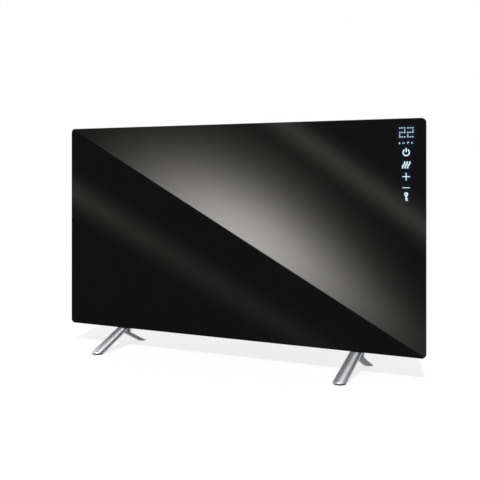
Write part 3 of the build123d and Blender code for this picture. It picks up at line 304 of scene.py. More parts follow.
def roomLight(x, y, z):
    # white walls, dim straight down, a roof that is darker in front, crossed by a bright strip whose
    # light is a bell, and a dark screen on the right: each over the last by how much it covers
    roof = z.between(*studio["roofUp"])
    strip = ((x - studio["stripAcross"]) / studio["stripWidth"]).bell()
    plain = studio["roofAhead"] + y.between(*studio["roofBack"]) * (studio["roof"] - studio["roofAhead"])
    above = strip * (studio["strip"] - plain) + plain
    right = x.between(*studio["flagRight"]) * (1.0 - z.between(*studio["flagUp"]))
    right = right * y.between(*studio["flagBack"])
    under = 1.0 - z.between(*studio["underUp"])
    wall = under * studio["under"] + (1.0 - under) * studio["room"]
    room = roof * above + (1.0 - roof) * wall
    return right * studio["flag"] + (1.0 - right) * room


def makeWorld():
    # white to the camera, even and soft to matt surfaces, and the room with its panel to glossy ones
    world = bpy.data.worlds.new("studio")
    bpy.context.scene.world = world
    shade = newTree(world)
    x, y, z = shade.node("ShaderNodeTexCoord", output="Generated").parts()
    across, down, ahead = glassPlace(x, y, z)
    front = ahead.between(*studio["frontAhead"])
    front = front * (1.0 - z.between(*studio["frontUp"])) * (1.0 - x.between(*studio["frontRight"]))
    panel = sheenLight(across, down).tinted(sheen["tint"])
    gloss = front.mix(roomLight(x, y, z).tinted((1.0, 1.0, 1.0)), panel)
    seen = shade.rays("Is Camera Ray", "Is Transmission Ray")
    colour = shade.rays("Is Glossy Ray").mix((studio["ambient"],) * 3, gloss)
    colour = seen.mix(colour, (1.0, 1.0, 1.0))
    background = shade.node("ShaderNodeBackground", None, {"Color": colour, "Strength": 1.0})
    shade.node("ShaderNodeOutputWorld", None, {"Surface": background})
    world.cycles.sampling_method = "NONE"


def makeFloor():
    # a wide white sheet, white to the camera but for the key light's shadow
    reach = studio["floorReach"]
    data = bpy.data.meshes.new("floor")
    corners = [(-reach, -reach, 0.0), (reach, -reach, 0.0), (reach, reach, 0.0), (-reach, reach, 0.0)]
    data.from_pydata(corners, [], [(0, 1, 2, 3)])
    floor = bpy.data.objects.new("floor", data)
    bpy.context.scene.collection.objects.link(floor)
    material = bpy.data.materials.new("floor_white")
    shade = newTree(material)
    seen = shade.rays("Is Camera Ray", "Is Glossy Ray", "Is Transmission Ray")
    albedo = studio["floorAlbedo"]
    glow = studio["floorWhite"] - studio["shadowShare"] - albedo * studio["ambient"]
    matt = shade.node("ShaderNodeBsdfDiffuse", None, {"Color": colour4((albedo,) * 3)})
    light = shade.node("ShaderNodeEmission", None, {"Color": (1.0, 1.0, 1.0, 1.0), "Strength": glow})
    both = shade.node("ShaderNodeAddShader", None, {0: matt, 1: light})
    plain = shade.node("ShaderNodeBsdfDiffuse", None, {"Color": colour4((studio["floorPlain"],) * 3)})
    mixed = shade.node("ShaderNodeMixShader", None, {0: seen, 1: plain, 2: both})
    shade.node("ShaderNodeOutputMaterial", None, {"Surface": mixed})
    data.materials.append(material)
    floor.visible_glossy = False  # gloss sees the world's own white below


def makeKey():
    # one sun, from the front and to the right, above the camera
    data = bpy.data.lights.new("key", "SUN")
    high = math.radians(studio["keyHeight"])
    data.energy = math.pi * studio["shadowShare"] / studio["floorAlbedo"] / math.sin(high)
    data.angle = math.radians(studio["keyWidth"])
    key = bpy.data.objects.new("key", data)
    key.visible_glossy = False  # metal shows the soft boxes alone
    bpy.context.scene.collection.objects.link(key)
    tilt = Matrix.Rotation(math.radians(90.0) - high, 4, "X")
    key.matrix_world = Matrix.Rotation(math.radians(studio["keySide"]), 4, "Z") @ tilt


makeWorld()
makeFloor()
makeKey()
bpy.context.scene.view_settings.view_transform = "Standard"
print("studio lit")


def meshObject(name, points, faces, material, body, slot, smooth=True):
    # a piece of points and faces with its material, on its body
    data = bpy.data.meshes.new(name)
    data.from_pydata(points, [], faces)
    data.polygons.foreach_set("use_smooth", np.full(len(data.polygons), smooth))
    data.update()
    made = bpy.data.objects.new(name, data)
    bpy.context.scene.collection.objects.link(made)
    data.materials.append(material)
    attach(made, body)
    return made


def tubeFaces(rings, sides):
    # quads between neighbouring rings of points, and a fan of one face at each end
    ring = np.arange(rings - 1)[:, None] * sides
    side = np.arange(sides)
    after = (side + 1) % sides
    quads = np.stack([ring + side, ring + after, ring + sides + after, ring + sides + side], axis=-1)
    last = (rings - 1) * sides
    ends = [list(range(sides))[::-1], [last + k for k in range(sides)]]
    return quads.reshape(-1, 4).tolist() + ends


def joined(shells):
    # several shells as one list of points and faces
    starts = np.cumsum([0] + [len(points) for points, faces in shells])
    faces = [[start + corner for corner in face] for start, shell in zip(starts, shells) for face in shell[1]]
    return np.concatenate([points for points, faces in shells]), faces


marks = {
    "proud": 0.00006,  # the lit ink in front of the glass
    "sunk": 0.0004,
    "columnX": 0.3773,  # middle of the keys
    "figureXs": (0.3698, 0.3852),
    "figureTop": 0.0172,  # down from the top of the glass
    "figureHeight": 0.0190,
    "figureWidth": 0.0120,
    "stroke": 0.0021,
    "dashGap": 0.0016,
    "lampXs": (0.3645, 0.3723, 0.3810, 0.3884),
    "lampDown": 0.0465,
    "powerDown": 0.0642,
    "warmDown": 0.0880,
    "plusDown": 0.1100,
    "minusDown": 0.1310,
    "lockDown": 0.1475,
    "figureGlow": 0.72,
    "keyGlow": 1.0,
}
lampMarks = {
    "point": (0.0019, 0.0019, 0.0021),  # half across, below the middle and above it
    "block": (0.0008, 0.0028, 0.0002),  # width, height and rounding of each bar
    "blockPitch": 0.0015,
    "blockDrop": 0.0004,
    "pole": (0.0010, 0.0046, 0.0002),
    "poleShift": -0.0012,
    "cloth": (0.0020, 0.0022, 0.0004),
    "clothShift": (0.0006, 0.0011),
    "ring": 0.0015,
}
powerMark = {
    "radius": 0.0060,
    "drop": 0.0003,
    "stroke": 0.0023,
    "opening": (122.0, 418.0),  # degrees from the right where the ring starts and ends
    "bar": (0.0024, 0.0080),
    "barLift": 0.0041,
}
warmMark = {
    "swing": 0.0011,
    "pitch": 0.0049,
    "lean": 0.0035,
    "height": 0.0132,
    "stroke": 0.0026,
}
keyMarks = {
    "arm": 0.0073,
    "plusStroke": 0.0016,
    "minusStroke": 0.0013,
    "bow": (0.0026, 0.0042, 0.0025),  # radius, height above the middle, and stroke
    "shaft": (0.0025, 0.0102),
    "shaftDrop": 0.0030,
    "lowTooth": (0.0026, 0.0019),
    "lowToothShift": (0.0023, -0.0068),
    "highTooth": (0.0018, 0.0017),
    "highToothShift": (0.0019, -0.0034),
}


def slab(outline):
    # a flat shape on the glass: its outline in x and z, carried from behind the face to just proud
    flat = np.asarray(outline, float)
    count = len(flat)
    ys = (glassFront - marks["proud"], glassFront + marks["sunk"])
    points = np.concatenate([np.column_stack([flat[:, 0], np.full(count, y), flat[:, 1]]) for y in ys])
    return points, tubeFaces(2, count)


def bar(x, z, width, height, corner=0.0004):
    # a rounded rectangle: each corner a quarter of a circle
    turn = np.linspace(0.0, 2.0 * math.pi, 20, endpoint=False) + math.pi / 20
    cx = np.sign(np.cos(turn)) * (width / 2 - corner) + np.cos(turn) * corner
    cz = np.sign(np.sin(turn)) * (height / 2 - corner) + np.sin(turn) * corner
    return np.column_stack([x + cx, z + cz])


def strokeLine(xs, zs, width):
    # a ribbon of even width along a line of points, with its ends cut square
    line = np.column_stack([xs, zs]).astype(float)
    along = np.gradient(line, axis=0)
    along /= np.linalg.norm(along, axis=1)[:, None]
    across = np.column_stack([-along[:, 1], along[:, 0]]) * (width / 2)
    return np.concatenate([line + across, (line - across)[::-1]])


def figureBars(x):
    # the figure 2 on seven segments, each of short dashes: three across, two down
    top = glassHigh.z - marks["figureTop"]
    high, wide, stroke, gap = (marks[key] for key in ("figureHeight", "figureWidth", "stroke", "dashGap"))
    dash = (wide - 2 * gap) / 3
    rise = (high / 2 - 1.5 * stroke - gap * 2) / 2
    bars = []
    for level in (top - stroke / 2, top - high / 2, top - high + stroke / 2):
        bars += [bar(x + step * (dash + gap), level, dash, stroke) for step in (-1, 0, 1)]
    for side, start in ((1, top - stroke - gap), (-1, top - high / 2 - stroke / 2 - gap)):
        places = [start - rise / 2, start - 1.5 * rise - gap * 0.6]
        bars += [bar(x + side * (wide - stroke) / 2, place, stroke, rise) for place in places]
    return bars


def lampBars():
    # four tiny marks: a flame point, a block of bars, a flag and a ring
    z = glassHigh.z - marks["lampDown"]
    pointX, blockX, flagX, ringX = marks["lampXs"]
    half, below, above = lampMarks["point"]
    flagShift, flagLift = lampMarks["clothShift"]
    radius = lampMarks["ring"]
    turn = np.linspace(0.0, 2.0 * math.pi, 24, endpoint=False)
    shapes = [np.array([(pointX - half, z - below), (pointX + half, z - below), (pointX, z + above)])]
    for step in (-1, 0, 1):
        place = blockX + step * lampMarks["blockPitch"]
        shapes.append(bar(place, z - lampMarks["blockDrop"], *lampMarks["block"]))
    shapes.append(bar(flagX + lampMarks["poleShift"], z, *lampMarks["pole"]))
    shapes.append(bar(flagX + flagShift, z + flagLift, *lampMarks["cloth"]))
    shapes.append(np.column_stack([ringX + radius * np.cos(turn), z + radius * np.sin(turn)]))
    return shapes


def powerBars():
    # an open ring and a short bar through its gap
    x, z = marks["columnX"], glassHigh.z - marks["powerDown"]
    radius = powerMark["radius"]
    turn = np.radians(np.linspace(*powerMark["opening"], 64))
    ringZs = z - powerMark["drop"] + radius * np.sin(turn)
    ring = strokeLine(x + radius * np.cos(turn), ringZs, powerMark["stroke"])
    return [ring, bar(x, z + powerMark["barLift"], *powerMark["bar"])]


def warmBars():
    # three rising waves of warm air, each a sine of one turn, leaned to the right
    x, z = marks["columnX"], glassHigh.z - marks["warmDown"]
    rise = np.linspace(-0.5, 0.5, 40)
    swing = warmMark["swing"] * np.sin(rise * 2.0 * math.pi)
    lines = []
    for step in (-1, 0, 1):
        xs = x + step * warmMark["pitch"] + swing + rise * warmMark["lean"]
        lines.append(strokeLine(xs, z + rise * warmMark["height"], warmMark["stroke"]))
    return lines


def keyBars():
    # plus, minus, and a lock key: a ring over a shaft with two teeth
    x, top, arm = marks["columnX"], glassHigh.z, keyMarks["arm"]
    plus, minus, lock = (top - marks[key] for key in ("plusDown", "minusDown", "lockDown"))
    turn = np.linspace(0.0, 2.0 * math.pi, 48)
    radius, lift, stroke = keyMarks["bow"]
    bowXs, bowZs = x + radius * np.cos(turn), lock + lift + radius * np.sin(turn)
    bars = [
        bar(x, plus, 2 * arm, keyMarks["plusStroke"]),
        bar(x, plus, keyMarks["plusStroke"], 2 * arm),
        bar(x, minus, 2 * arm, keyMarks["minusStroke"]),
        strokeLine(bowXs, bowZs, stroke),
        bar(x, lock - keyMarks["shaftDrop"], *keyMarks["shaft"]),
    ]
    for tooth in ("lowTooth", "highTooth"):
        across, up = keyMarks[tooth + "Shift"]
        bars.append(bar(x + across, lock + up, *keyMarks[tooth]))
    return bars


def litMark(name, shapes, material):
    # flat shapes on the glass as one piece
    points, faces = joined([slab(shape) for shape in shapes])
    meshObject(name, points, faces, material, "panel", "display_black", smooth=False)


def litInk(name, glow):
    # a lamp behind the glass: even light, a little uneven where the diffuser thins
    material = bpy.data.materials.new(name)
    shade = newTree(material)
    place = shade.node("ShaderNodeTexCoord", output="Object")
    colour = place.noise(420.0).mix((0.66, 0.86, 1.0), (0.80, 0.95, 1.0))
    inputs = {
        "Base Color": (0.02, 0.03, 0.04, 1.0),
        "Roughness": 0.12,
        "Emission Color": colour,
        "Emission Strength": glow,
    }
    shader = shade.node("ShaderNodeBsdfPrincipled", None, inputs)
    shade.node("ShaderNodeOutputMaterial", None, {"Surface": shader})
    return material


figureInk = litInk("lit_figures", marks["figureGlow"])
keyInk = litInk("lit_keys", marks["keyGlow"])
figures = [shape for x in marks["figureXs"] for shape in figureBars(x)]
litMark("display_figures", figures, figureInk)
litMark("display_lamps", lampBars(), figureInk)
litMark("power_key", powerBars(), keyInk)
litMark("warmth_key", warmBars(), keyInk)
litMark("plus_minus_lock_keys", keyBars(), keyInk)
print("display lit")


halo = {
    "colour": (0.0, 0.0085, 0.021),
    "reach": 0.0038,  # how far the light spreads in the glass
    "strength": 1.0,
    "skin": (0.0002, 0.0006),  # behind the front face, where the glow starts to end and has ended
}


def markBoxes():
    # middle x, middle z, half width and half height of what each lit mark covers
    top, x = glassHigh.z, marks["columnX"]
    middle = sum(marks["figureXs"]) / 2
    figure = top - marks["figureTop"] - marks["figureHeight"] / 2
    return [
        (middle, figure, 0.0145, 0.0095),
        (middle - 0.0005, top - marks["lampDown"], 0.0125, 0.0008),
        (x, top - marks["powerDown"], 0.0050, 0.0050),
        (x, top - marks["warmDown"], 0.0065, 0.0055),
        (x, top - marks["plusDown"], 0.0050, 0.0050),
        (x, top - marks["minusDown"], 0.0062, 0.0004),
        (x, top - marks["lockDown"], 0.0020, 0.0065),
    ]


def blackGlass(place):
    # black ink behind clear glass: a faint wipe haze, and a glow round each lit mark, which falls away
    # as e to minus the square of the distance over its reach
    x, y, z = place.parts()
    glow = None
    for middleX, middleZ, halfWide, halfHigh in markBoxes():
        wide = (abs(x - middleX) - halfWide).most(0.0)
        high = (abs(z - middleZ) - halfHigh).most(0.0)
        near = ((wide * wide + high * high) / -(halo["reach"] ** 2)).exponent()
        glow = near if glow is None else glow.most(near)
    haze = place.noise((5.0, 5.0, 14.0), 4.0, 0.6)
    front = 1.0 - y.between(*(glassFront + behind for behind in halo["skin"]))
    return {
        "Base Color": haze.mix((0.0028, 0.0028, 0.0030), (0.0040, 0.0040, 0.0042)),
        "Roughness": haze * 0.010 + 0.004,
        "IOR": 1.75,  # above plain glass, with the sheen dimmed to match
        "Emission Color": (glow * front).tinted(halo["colour"]),
        "Emission Strength": halo["strength"],
    }


def powderCoat(place, base, peelScale=620.0):
    # baked powder paint: orange peel of about 1.5 mm, finer grit on top, thinner and glossier in patches
    peel = place.noise(peelScale, 2.0)
    grit = place.noise(peelScale * 4.5, 2.0)
    patch = place.noise(11.0, 3.0)
    return {
        "Base Color": patch.mix([c * 0.85 for c in base], [c * 1.2 for c in base]),
        "Roughness": 0.36 + grit * 0.14 + patch * 0.05,
        "Normal": (peel * 0.7 + grit * 0.3).bump(0.00014),
    }


def satinAluminium(place, base, grain=(1500.0, 42.0, 42.0)):
    # linished and anodised: long fine grain, and slow changes in how bright it is
    streak = place.noise(grain, 4.0, 0.62)
    fine = place.noise(tuple(scale * 3.1 for scale in grain), 2.0)
    cloud = place.noise(60.0, 2.0)
    return {
        "Base Color": streak.mix([c * 0.95 for c in base], [c * 1.03 for c in base]),
        "Roughness": 0.33 + streak * 0.06 + cloud * 0.05,
        "Metallic": 1.0,
        "Normal": (streak * 0.6 + fine * 0.4).bump(0.0000015),
    }


def platedSteel(place, base, grainScale=240.0, rough=0.30):
    # plated or rolled metal: small crystals that differ in shade, rubbed brighter in places
    crystal = place.cells(grainScale, output="Color").parts()[0]
    rub = place.noise((90.0, 90.0, 700.0), 3.0, 0.6)
    stain = place.noise(28.0, 3.0)
    shade = crystal * 0.45 + stain * 0.55
    return {
        "Base Color": shade.mix([c * 0.80 for c in base], [c * 1.10 for c in base]),
        "Roughness": rough - 0.06 + rub * 0.16,
        "Metallic": 1.0,
        "Normal": (rub * 0.7 + crystal * 0.3).bump(0.00003),
    }


def crinkledFoil(place, base):
    # thin foil pressed on a board: creases where cells meet, smooth between them
    crease = place.cells(55.0, "DISTANCE_TO_EDGE")
    ripple = place.noise(160.0, 3.0)
    return {
        "Base Color": ripple.mix([c * 0.88 for c in base], base),
        "Roughness": 0.16 + ripple * 0.16,
        "Metallic": 1.0,
        "Normal": (crease.between(0.0, 0.12) * 0.6 + ripple * 0.4).bump(0.0004),
    }


def mouldedPlastic(place, base, rough=0.45, texture=1500.0):
    # a spark-textured mould: fine even pits, and faint flow marks
    pit = place.noise(texture, 2.0, 0.6)
    flow = place.noise((9.0, 9.0, 30.0), 3.0)
    return {
        "Base Color": flow.mix([c * 0.93 for c in base], [c * 1.06 for c in base]),
        "Roughness": rough - 0.05 + pit * 0.12,
        "Normal": pit.bump(0.00006),
    }


def softRubber(place, base, rough=0.72):
    # moulded rubber: a dry bloom over dark pits
    bloom = place.noise(38.0, 4.0, 0.6)
    pit = place.noise(900.0, 3.0, 0.6)
    return {
        "Base Color": bloom.mix([c * 0.8 for c in base], [c * 1.7 for c in base]),
        "Roughness": rough - 0.08 + pit * 0.16,
        "Normal": pit.bump(0.0001),
    }


def solderBoard(place, base):
    # green resist over copper: the copper shows as paler cells, with tinned pads
    track = place.cells(330.0, "F1", "Color").parts()[1].between(0.45, 0.55)
    weave = place.noise(2200.0, 2.0)
    pad = 1.0 - place.cells(210.0).between(0.16, 0.2)
    mask = track.mix(base, [c * 1.75 for c in base])
    return {
        "Base Color": pad.mix(mask, (0.62, 0.60, 0.55)),
        "Roughness": 0.34 + weave * 0.1,
        "Metallic": pad * 0.9,
        "Normal": (track * 0.7 + weave * 0.3).bump(0.00005),
    }


def flakedMica(place, base):
    # pressed flakes: overlapping cells of silver and brown with a pearly gloss
    flake = place.cells(170.0, output="Color").parts()[0]
    grain = place.noise(90.0, 4.0, 0.6)
    return {
        "Base Color": (flake * 0.6 + grain * 0.4).mix([c * 0.6 for c in base], [c * 1.3 for c in base]),
        "Roughness": 0.3 + flake * 0.25,
        "Normal": flake.bump(0.00012),
    }


def pressedWool(place, base):
    # mineral fibres pressed to a board: short crossing strands and loose tufts, with painted shade in the
    # hollows between them
    strand = place.noise((1300.0, 160.0, 160.0), 3.0, 0.6)
    crossing = place.noise((160.0, 160.0, 1300.0), 3.0, 0.6)
    tuft = place.noise(70.0, 3.0)
    fibre = strand.most(crossing)
    return {
        # lighter on raised fibres and tufts, darker in the hollows: painted shade
        "Base Color": (fibre * 0.6 + tuft * 0.4).mix([c * 0.55 for c in base], [c * 1.25 for c in base]),
        "Roughness": 0.85 + fibre * 0.1,
        "Normal": (fibre * 0.6 + tuft * 0.4).bump(0.0008),
    }


def glazedCeramic(place, base):
    # fired white body with a thin glaze: faint specks, slightly wavy
    speck = 1.0 - place.cells(900.0).between(0.1, 0.16)
    wave = place.noise(180.0, 2.0)
    return {
        "Base Color": speck.mix(base, (0.45, 0.42, 0.37)),
        "Roughness": 0.2 + wave * 0.15,
        "Normal": wave.bump(0.00008),
    }


def etchedTrack(place, base):
    # resistance ribbon: straw and blue oxide along its runs, rolled lines lengthwise
    oxide = place.noise(24.0, 4.0, 0.6)
    line = place.noise((60.0, 60.0, 1500.0), 2.0)
    return {
        "Base Color": oxide.mix(base, (base[0] * 1.05, base[1] * 0.82, base[2] * 0.62)),
        "Roughness": 0.30 + line * 0.18,
        "Metallic": 1.0,
        "Normal": line.bump(0.00002),
    }


def wovenSleeve(place, base):
    # glass braid over a lead: two crossing waves, varnished, with painted shade between the strands and some
    # soil
    x, y, z = place.parts()
    left = (x + z + y).wave(0.0011)
    right = (x - z - y).wave(0.0011)
    braid = left.most(right)
    soil = place.noise(50.0, 3.0)
    return {
        # darker where the braid is low: painted shade between the strands, mixed with random soil
        "Base Color": (braid * 0.6 + soil * 0.4).mix([c * 0.72 for c in base], [c * 1.12 for c in base]),
        "Roughness": 0.5 + braid * 0.15,
        "Normal": braid.bump(0.00012),
    }


def ribbedCable(place, base):
    # flat cable: a groove between each two wires, with painted shade darkening the colour down in each groove
    x, y, z = place.parts()
    groove = x.wave(0.00127)
    return {
        # painted shade: the colour is darkest at the bottom of each groove
        "Base Color": groove.mix([c * 0.7 for c in base], base),
        "Roughness": 0.42 + groove * 0.1,
        "Normal": groove.bump(0.0002),
    }


def clearTube(place, base):
    # a glass fuse: clear wall with drawn lines
    line = place.noise((60.0, 900.0, 900.0), 2.0)
    return {
        "Base Color": line.mix([c * 0.9 for c in base], base),
        "Roughness": 0.03 + line * 0.05,
        "Transmission Weight": 0.9,
        "IOR": 1.5,
    }


finishes = {
    "black_glass": (blackGlass,),
    "black_silicone": (softRubber, (0.016, 0.016, 0.016), 0.45),
    "black_rubber": (softRubber, (0.022, 0.022, 0.023)),
    "black_steel": (powderCoat, (0.030, 0.031, 0.033)),
    "zinc_steel": (platedSteel, (0.62, 0.64, 0.66)),
    "black_screws": (powderCoat, (0.040, 0.040, 0.042), 2400.0),
    "stainless_screws": (platedSteel, (0.60, 0.59, 0.57), 900.0, 0.24),
    "satin_aluminium": (satinAluminium, (0.74, 0.76, 0.79)),
    "plain_aluminium": (satinAluminium, (0.78, 0.79, 0.80), (30.0, 30.0, 1400.0)),
    "bright_foil": (crinkledFoil, (0.86, 0.87, 0.88)),
    "heater_alloy": (etchedTrack, (0.50, 0.47, 0.43)),
    "mica": (flakedMica, (0.45, 0.38, 0.27)),
    "white_ceramic": (glazedCeramic, (0.82, 0.81, 0.77)),
    "mineral_wool": (pressedWool, (0.62, 0.57, 0.42)),
    "black_phenolic": (mouldedPlastic, (0.022, 0.020, 0.019), 0.38, 1100.0),
    "brass": (platedSteel, (0.72, 0.52, 0.24), 420.0, 0.26),
    "grey_moulding": (mouldedPlastic, (0.30, 0.31, 0.32)),
    "green_board": (solderBoard, (0.012, 0.10, 0.035)),
    "terminal_grey": (mouldedPlastic, (0.42, 0.43, 0.42), 0.5),
    "relay_blue": (mouldedPlastic, (0.02, 0.10, 0.34), 0.35),
    "transformer_yellow": (mouldedPlastic, (0.70, 0.50, 0.05), 0.4, 700.0),
    "capacitor_red": (mouldedPlastic, (0.40, 0.04, 0.03), 0.25, 500.0),
    "chip_black": (mouldedPlastic, (0.02, 0.02, 0.02), 0.5, 2600.0),
    "fuse_glass": (clearTube, (0.9, 0.93, 0.92)),
    "dark_aluminium": (satinAluminium, (0.07, 0.07, 0.075), (40.0, 40.0, 1400.0)),
    "display_black": (mouldedPlastic, (0.012, 0.012, 0.013), 0.25, 2600.0),
    "key_foam": (softRubber, (0.06, 0.06, 0.06), 0.9),
    "header_white": (mouldedPlastic, (0.80, 0.79, 0.74), 0.45),
    "ribbon_grey": (ribbedCable, (0.42, 0.43, 0.45)),
    "rocker_black": (mouldedPlastic, (0.015, 0.015, 0.016), 0.22, 3000.0),
    "black_nylon": (mouldedPlastic, (0.018, 0.018, 0.019), 0.5, 900.0),
    "sensor_white": (mouldedPlastic, (0.78, 0.78, 0.75), 0.4),
    "sensor_dark": (mouldedPlastic, (0.03, 0.03, 0.035), 0.4),
    "heat_proof_sleeve": (wovenSleeve, (0.55, 0.48, 0.38)),
    "lead_blue": (mouldedPlastic, (0.03, 0.10, 0.38), 0.35, 800.0),
}


def makeFinish(name):
    # a material from its recipe, laid out on the object's own coordinates
    recipe, *values = finishes[name]
    material = bpy.data.materials.new(name + "_finish")
    shade = newTree(material)
    place = shade.node("ShaderNodeTexCoord", output="Object")
    inputs = recipe(place, *values)
    inputs["Base Color"] = colour4(inputs["Base Color"])
    shader = shade.node("ShaderNodeBsdfPrincipled", None, inputs)
    shade.node("ShaderNodeOutputMaterial", None, {"Surface": shader})
    return material


ready = {}
for node in nodes.values():
    for holder in node.material_slots:
        slot = holder.name
        if slot not in ready:
            ready[slot] = makeFinish(slot)
        holder.material = ready[slot]
print("finishes on", len(nodes), "nodes:", len(ready))


foot = {
    "halfWidths": {-1: (0.0134, 0.0128), 1: (0.0110, 0.0110)},  # at the toe and under the glass
    "halfDepths": {-1: (0.0074, 0.0070), 1: (0.0042, 0.0042)},
    "slopes": {-1: 21.8, 1: 25.5},  # degrees above the floor, front leg and rear leg
    "reaches": {-1: 0.0885, 1: 0.0875},  # from the glass to where each leg's middle line meets the floor
    "toeEnd": 0.0970,
    "tails": {-1: -0.0306, 1: 0.0075},  # how far each leg runs on under the glass
    "toeSweep": (0.0145, 0.0170),  # a toe's round end seen from above: half across, and along
    "toeBlend": 0.0010,
    "underCut": (0.80, 0.0046),  # how far a toe runs back under itself, below this height
    "sole": 0.0012,
    "soleInset": 0.0007,
    "soleSunk": 0.0004,  # how far a sole reaches up into its toe
    "soleRound": 0.0004,
    "toeRound": 0.0018,
    "roundSteps": 8,
    "top": 0.0500,
    "legSteps": 60,
    "seat": (0.0426, 0.0072),  # under the glass, and behind it
    "seatHalves": (0.03, 0.05),  # what is cut away for the glass and the body
    "seatSquare": 24.0,  # 2 is an oval, and more is squarer
    "seatBelow": 0.0002,  # under the plate
    "neckLow": 0.0300,
    "neckSunk": 0.001,  # how far the neck runs up into the plate
    "neckSteps": 12,
    "neckSquare": 3.4,
    "neckMiddles": (0.0201, 0.0223),
    "neckHalves": ((0.0135, 0.0105), (0.0185, 0.0120)),
    "plateLow": 0.0510,
    "plateHigh": 0.0550,
    "plateYs": (0.0093, 0.0353),
    "plateHalf": 0.0360,
    "plateSquare": 9.0,
    "screwSpacing": 0.0500,
    "holeRadius": 0.0028,
    "drillPast": 0.002,  # above and below the plate
    "voxel": 0.0008,
    "smoothing": 14,
    "sharp": 40.0,  # degrees, above which an edge stays crisp
}
footXs = [sum(corner.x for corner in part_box(name)) / 2 for name in ("foot_left", "foot_right")]


def stackedRings(zs, middleX, middleYs, halfXs, halfYs, power, sides=96):
    # level rings one above the other: |x/a|^p + |y/b|^p = 1, with middle and halves given at each height
    turn = np.linspace(0.0, 2.0 * math.pi, sides, endpoint=False)
    cosine = np.sign(np.cos(turn)) * np.abs(np.cos(turn)) ** (2.0 / power)
    sine = np.sign(np.sin(turn)) * np.abs(np.sin(turn)) ** (2.0 / power)
    given = (zs, middleYs, halfXs, halfYs)
    zs, middleYs, halfXs, halfYs = (np.broadcast_to(value, np.shape(zs))[:, None] for value in given)
    points = np.stack([middleX + halfXs * cosine, middleYs + halfYs * sine, zs + 0.0 * cosine], axis=-1)
    return points.reshape(-1, 3), tubeFaces(len(zs), sides)


def legRings(x, side, low, high, inset, rounding):
    # an oval bar that leans in from its toe, cut level, its lower edge a quarter circle
    slope = math.radians(foot["slopes"][side])
    quarter = np.linspace(0.0, math.pi / 2, foot["roundSteps"])
    straight = np.linspace(low + rounding, high, foot["legSteps"])[1:]
    zs = np.concatenate([low + rounding * (1.0 - np.cos(quarter)), straight])
    shrink = inset + np.concatenate([rounding * (1.0 - np.sin(quarter)), np.zeros(len(straight))])
    middles = side * (foot["reaches"][side] - zs / math.tan(slope))
    rise = zs / foot["top"]
    halfXs = foot["halfWidths"][side][0] * (1.0 - rise) + foot["halfWidths"][side][1] * rise
    halfDepths = foot["halfDepths"][side][0] * (1.0 - rise) + foot["halfDepths"][side][1] * rise
    points, faces = stackedRings(zs, x, middles, halfXs - shrink, halfDepths / math.sin(slope) - shrink, 2.0)
    # seen from above a toe ends in e - n (1 - (1 - (x / w)^2)^1/2), less c (h - z) below the height h
    halfAcross, sweep = foot["toeSweep"]
    across = (points[:, 0] - x) / (halfAcross - inset)
    end = foot["toeEnd"] - inset - (sweep - inset) * (1.0 - np.sqrt(1.0 - across**2))
    end -= foot["underCut"][0] * np.maximum(foot["underCut"][1] - points[:, 2], 0.0)
    # the leg a meets that end e in a soft corner: (a + e - ((a - e)^2 + b^2)^1/2) / 2
    ahead = side * points[:, 1]
    ahead = (ahead + end - np.sqrt((ahead - end) ** 2 + foot["toeBlend"] ** 2)) / 2
    points[:, 1] = side * np.maximum(ahead, foot["tails"][side] + inset)
    return points, faces


def baked(made):
    # the mesh with its modifiers applied
    bpy.context.view_layer.update()
    seen = made.evaluated_get(bpy.context.evaluated_depsgraph_get())
    data = bpy.data.meshes.new_from_object(seen)
    made.modifiers.clear()
    made.data = data
    data.polygons.foreach_set("use_smooth", np.ones(len(data.polygons), bool))


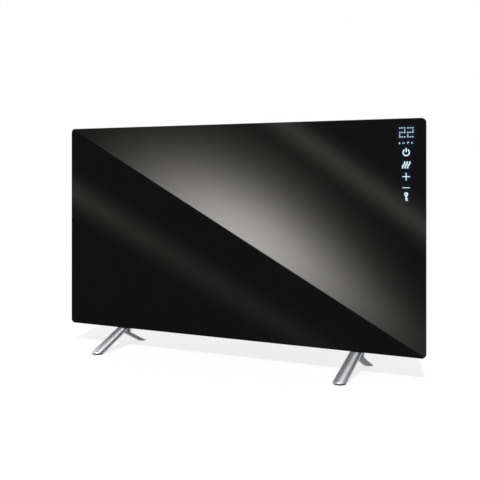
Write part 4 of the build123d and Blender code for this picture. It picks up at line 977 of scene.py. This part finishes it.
def castFoot(name, node, x, material):
    # two legs, a neck and a plate, run together and smoothed as a casting is, then drilled
    # the neck goes from its low middle and halves to its high ones with the square of the height
    (lowMiddle, highMiddle), (lowHalves, highHalves) = foot["neckMiddles"], foot["neckHalves"]
    share = np.linspace(0.0, 1.0, foot["neckSteps"])
    neckZs = foot["neckLow"] + share * (foot["plateLow"] + foot["neckSunk"] - foot["neckLow"])
    flare = share**2
    neckXs = lowHalves[0] + flare * (highHalves[0] - lowHalves[0])
    neckYs = lowHalves[1] + flare * (highHalves[1] - lowHalves[1])
    middles = lowMiddle + flare * (highMiddle - lowMiddle)
    plateZs = np.array([foot["plateLow"], foot["plateHigh"]])
    plateMiddle = sum(foot["plateYs"]) / 2
    plateHalf = (foot["plateYs"][1] - foot["plateYs"][0]) / 2
    shells = [legRings(x, side, foot["sole"], foot["top"], 0.0, foot["toeRound"]) for side in (-1, 1)]
    shells.append(stackedRings(neckZs, x, middles, neckXs, neckYs, foot["neckSquare"]))
    shells.append(stackedRings(plateZs, x, plateMiddle, foot["plateHalf"], plateHalf, foot["plateSquare"]))
    made = meshObject(name, *joined(shells), material, "panel", "satin_aluminium")
    remesh = made.modifiers.new("run together", "REMESH")
    remesh.mode = "VOXEL"
    remesh.voxel_size = foot["voxel"]
    smooth = made.modifiers.new("smooth", "SMOOTH")
    smooth.factor = 0.5
    smooth.iterations = foot["smoothing"]
    baked(made)
    under, behind = foot["seat"]
    halfAcross, halfBack = foot["seatHalves"]
    ends = np.array([under, foot["plateLow"] - foot["seatBelow"]])
    cuts = [stackedRings(ends, x, behind - halfBack, halfAcross, halfBack, foot["seatSquare"])]
    drillEnds = np.array([foot["plateLow"] - foot["drillPast"], foot["plateHigh"] + foot["drillPast"]])
    radius = foot["holeRadius"]
    for step in (-1, 1):
        holeX = x + step * foot["screwSpacing"] / 2
        cuts.append(stackedRings(drillEnds, holeX, plateMiddle, radius, radius, 2.0, 32))
    cutAway(made, cuts)
    made.data.set_sharp_from_angle(angle=math.radians(foot["sharp"]))
    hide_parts(node)


def cutAway(made, shells):
    # takes closed shells out of a mesh
    data = bpy.data.meshes.new("cutter")
    points, faces = joined(shells)
    data.from_pydata(points, [], faces)
    cutter = bpy.data.objects.new("cutter", data)
    bpy.context.scene.collection.objects.link(cutter)
    cut = made.modifiers.new("cut", "BOOLEAN")
    cut.operation = "DIFFERENCE"
    cut.solver = "EXACT"
    cut.object = cutter
    baked(made)
    bpy.data.objects.remove(cutter)


def footSoles(name, node, x, material):
    # a rubber sole under each toe, set in from its edge
    top = foot["sole"] + foot["soleSunk"]
    shells = [legRings(x, side, 0.0, top, foot["soleInset"], foot["soleRound"]) for side in (-1, 1)]
    made = meshObject(name, *joined(shells), material, "panel", "black_rubber")
    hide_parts(node)


footFinish = makeFinish("satin_aluminium")
soleFinish = makeFinish("black_rubber")
for side, x in zip(("left", "right"), footXs):
    castFoot(f"cast_foot_{side}", f"foot_{side}", x, footFinish)
    footSoles(f"soles_{side}", f"foot_pads_{side}", x, soleFinish)
print("feet cast")
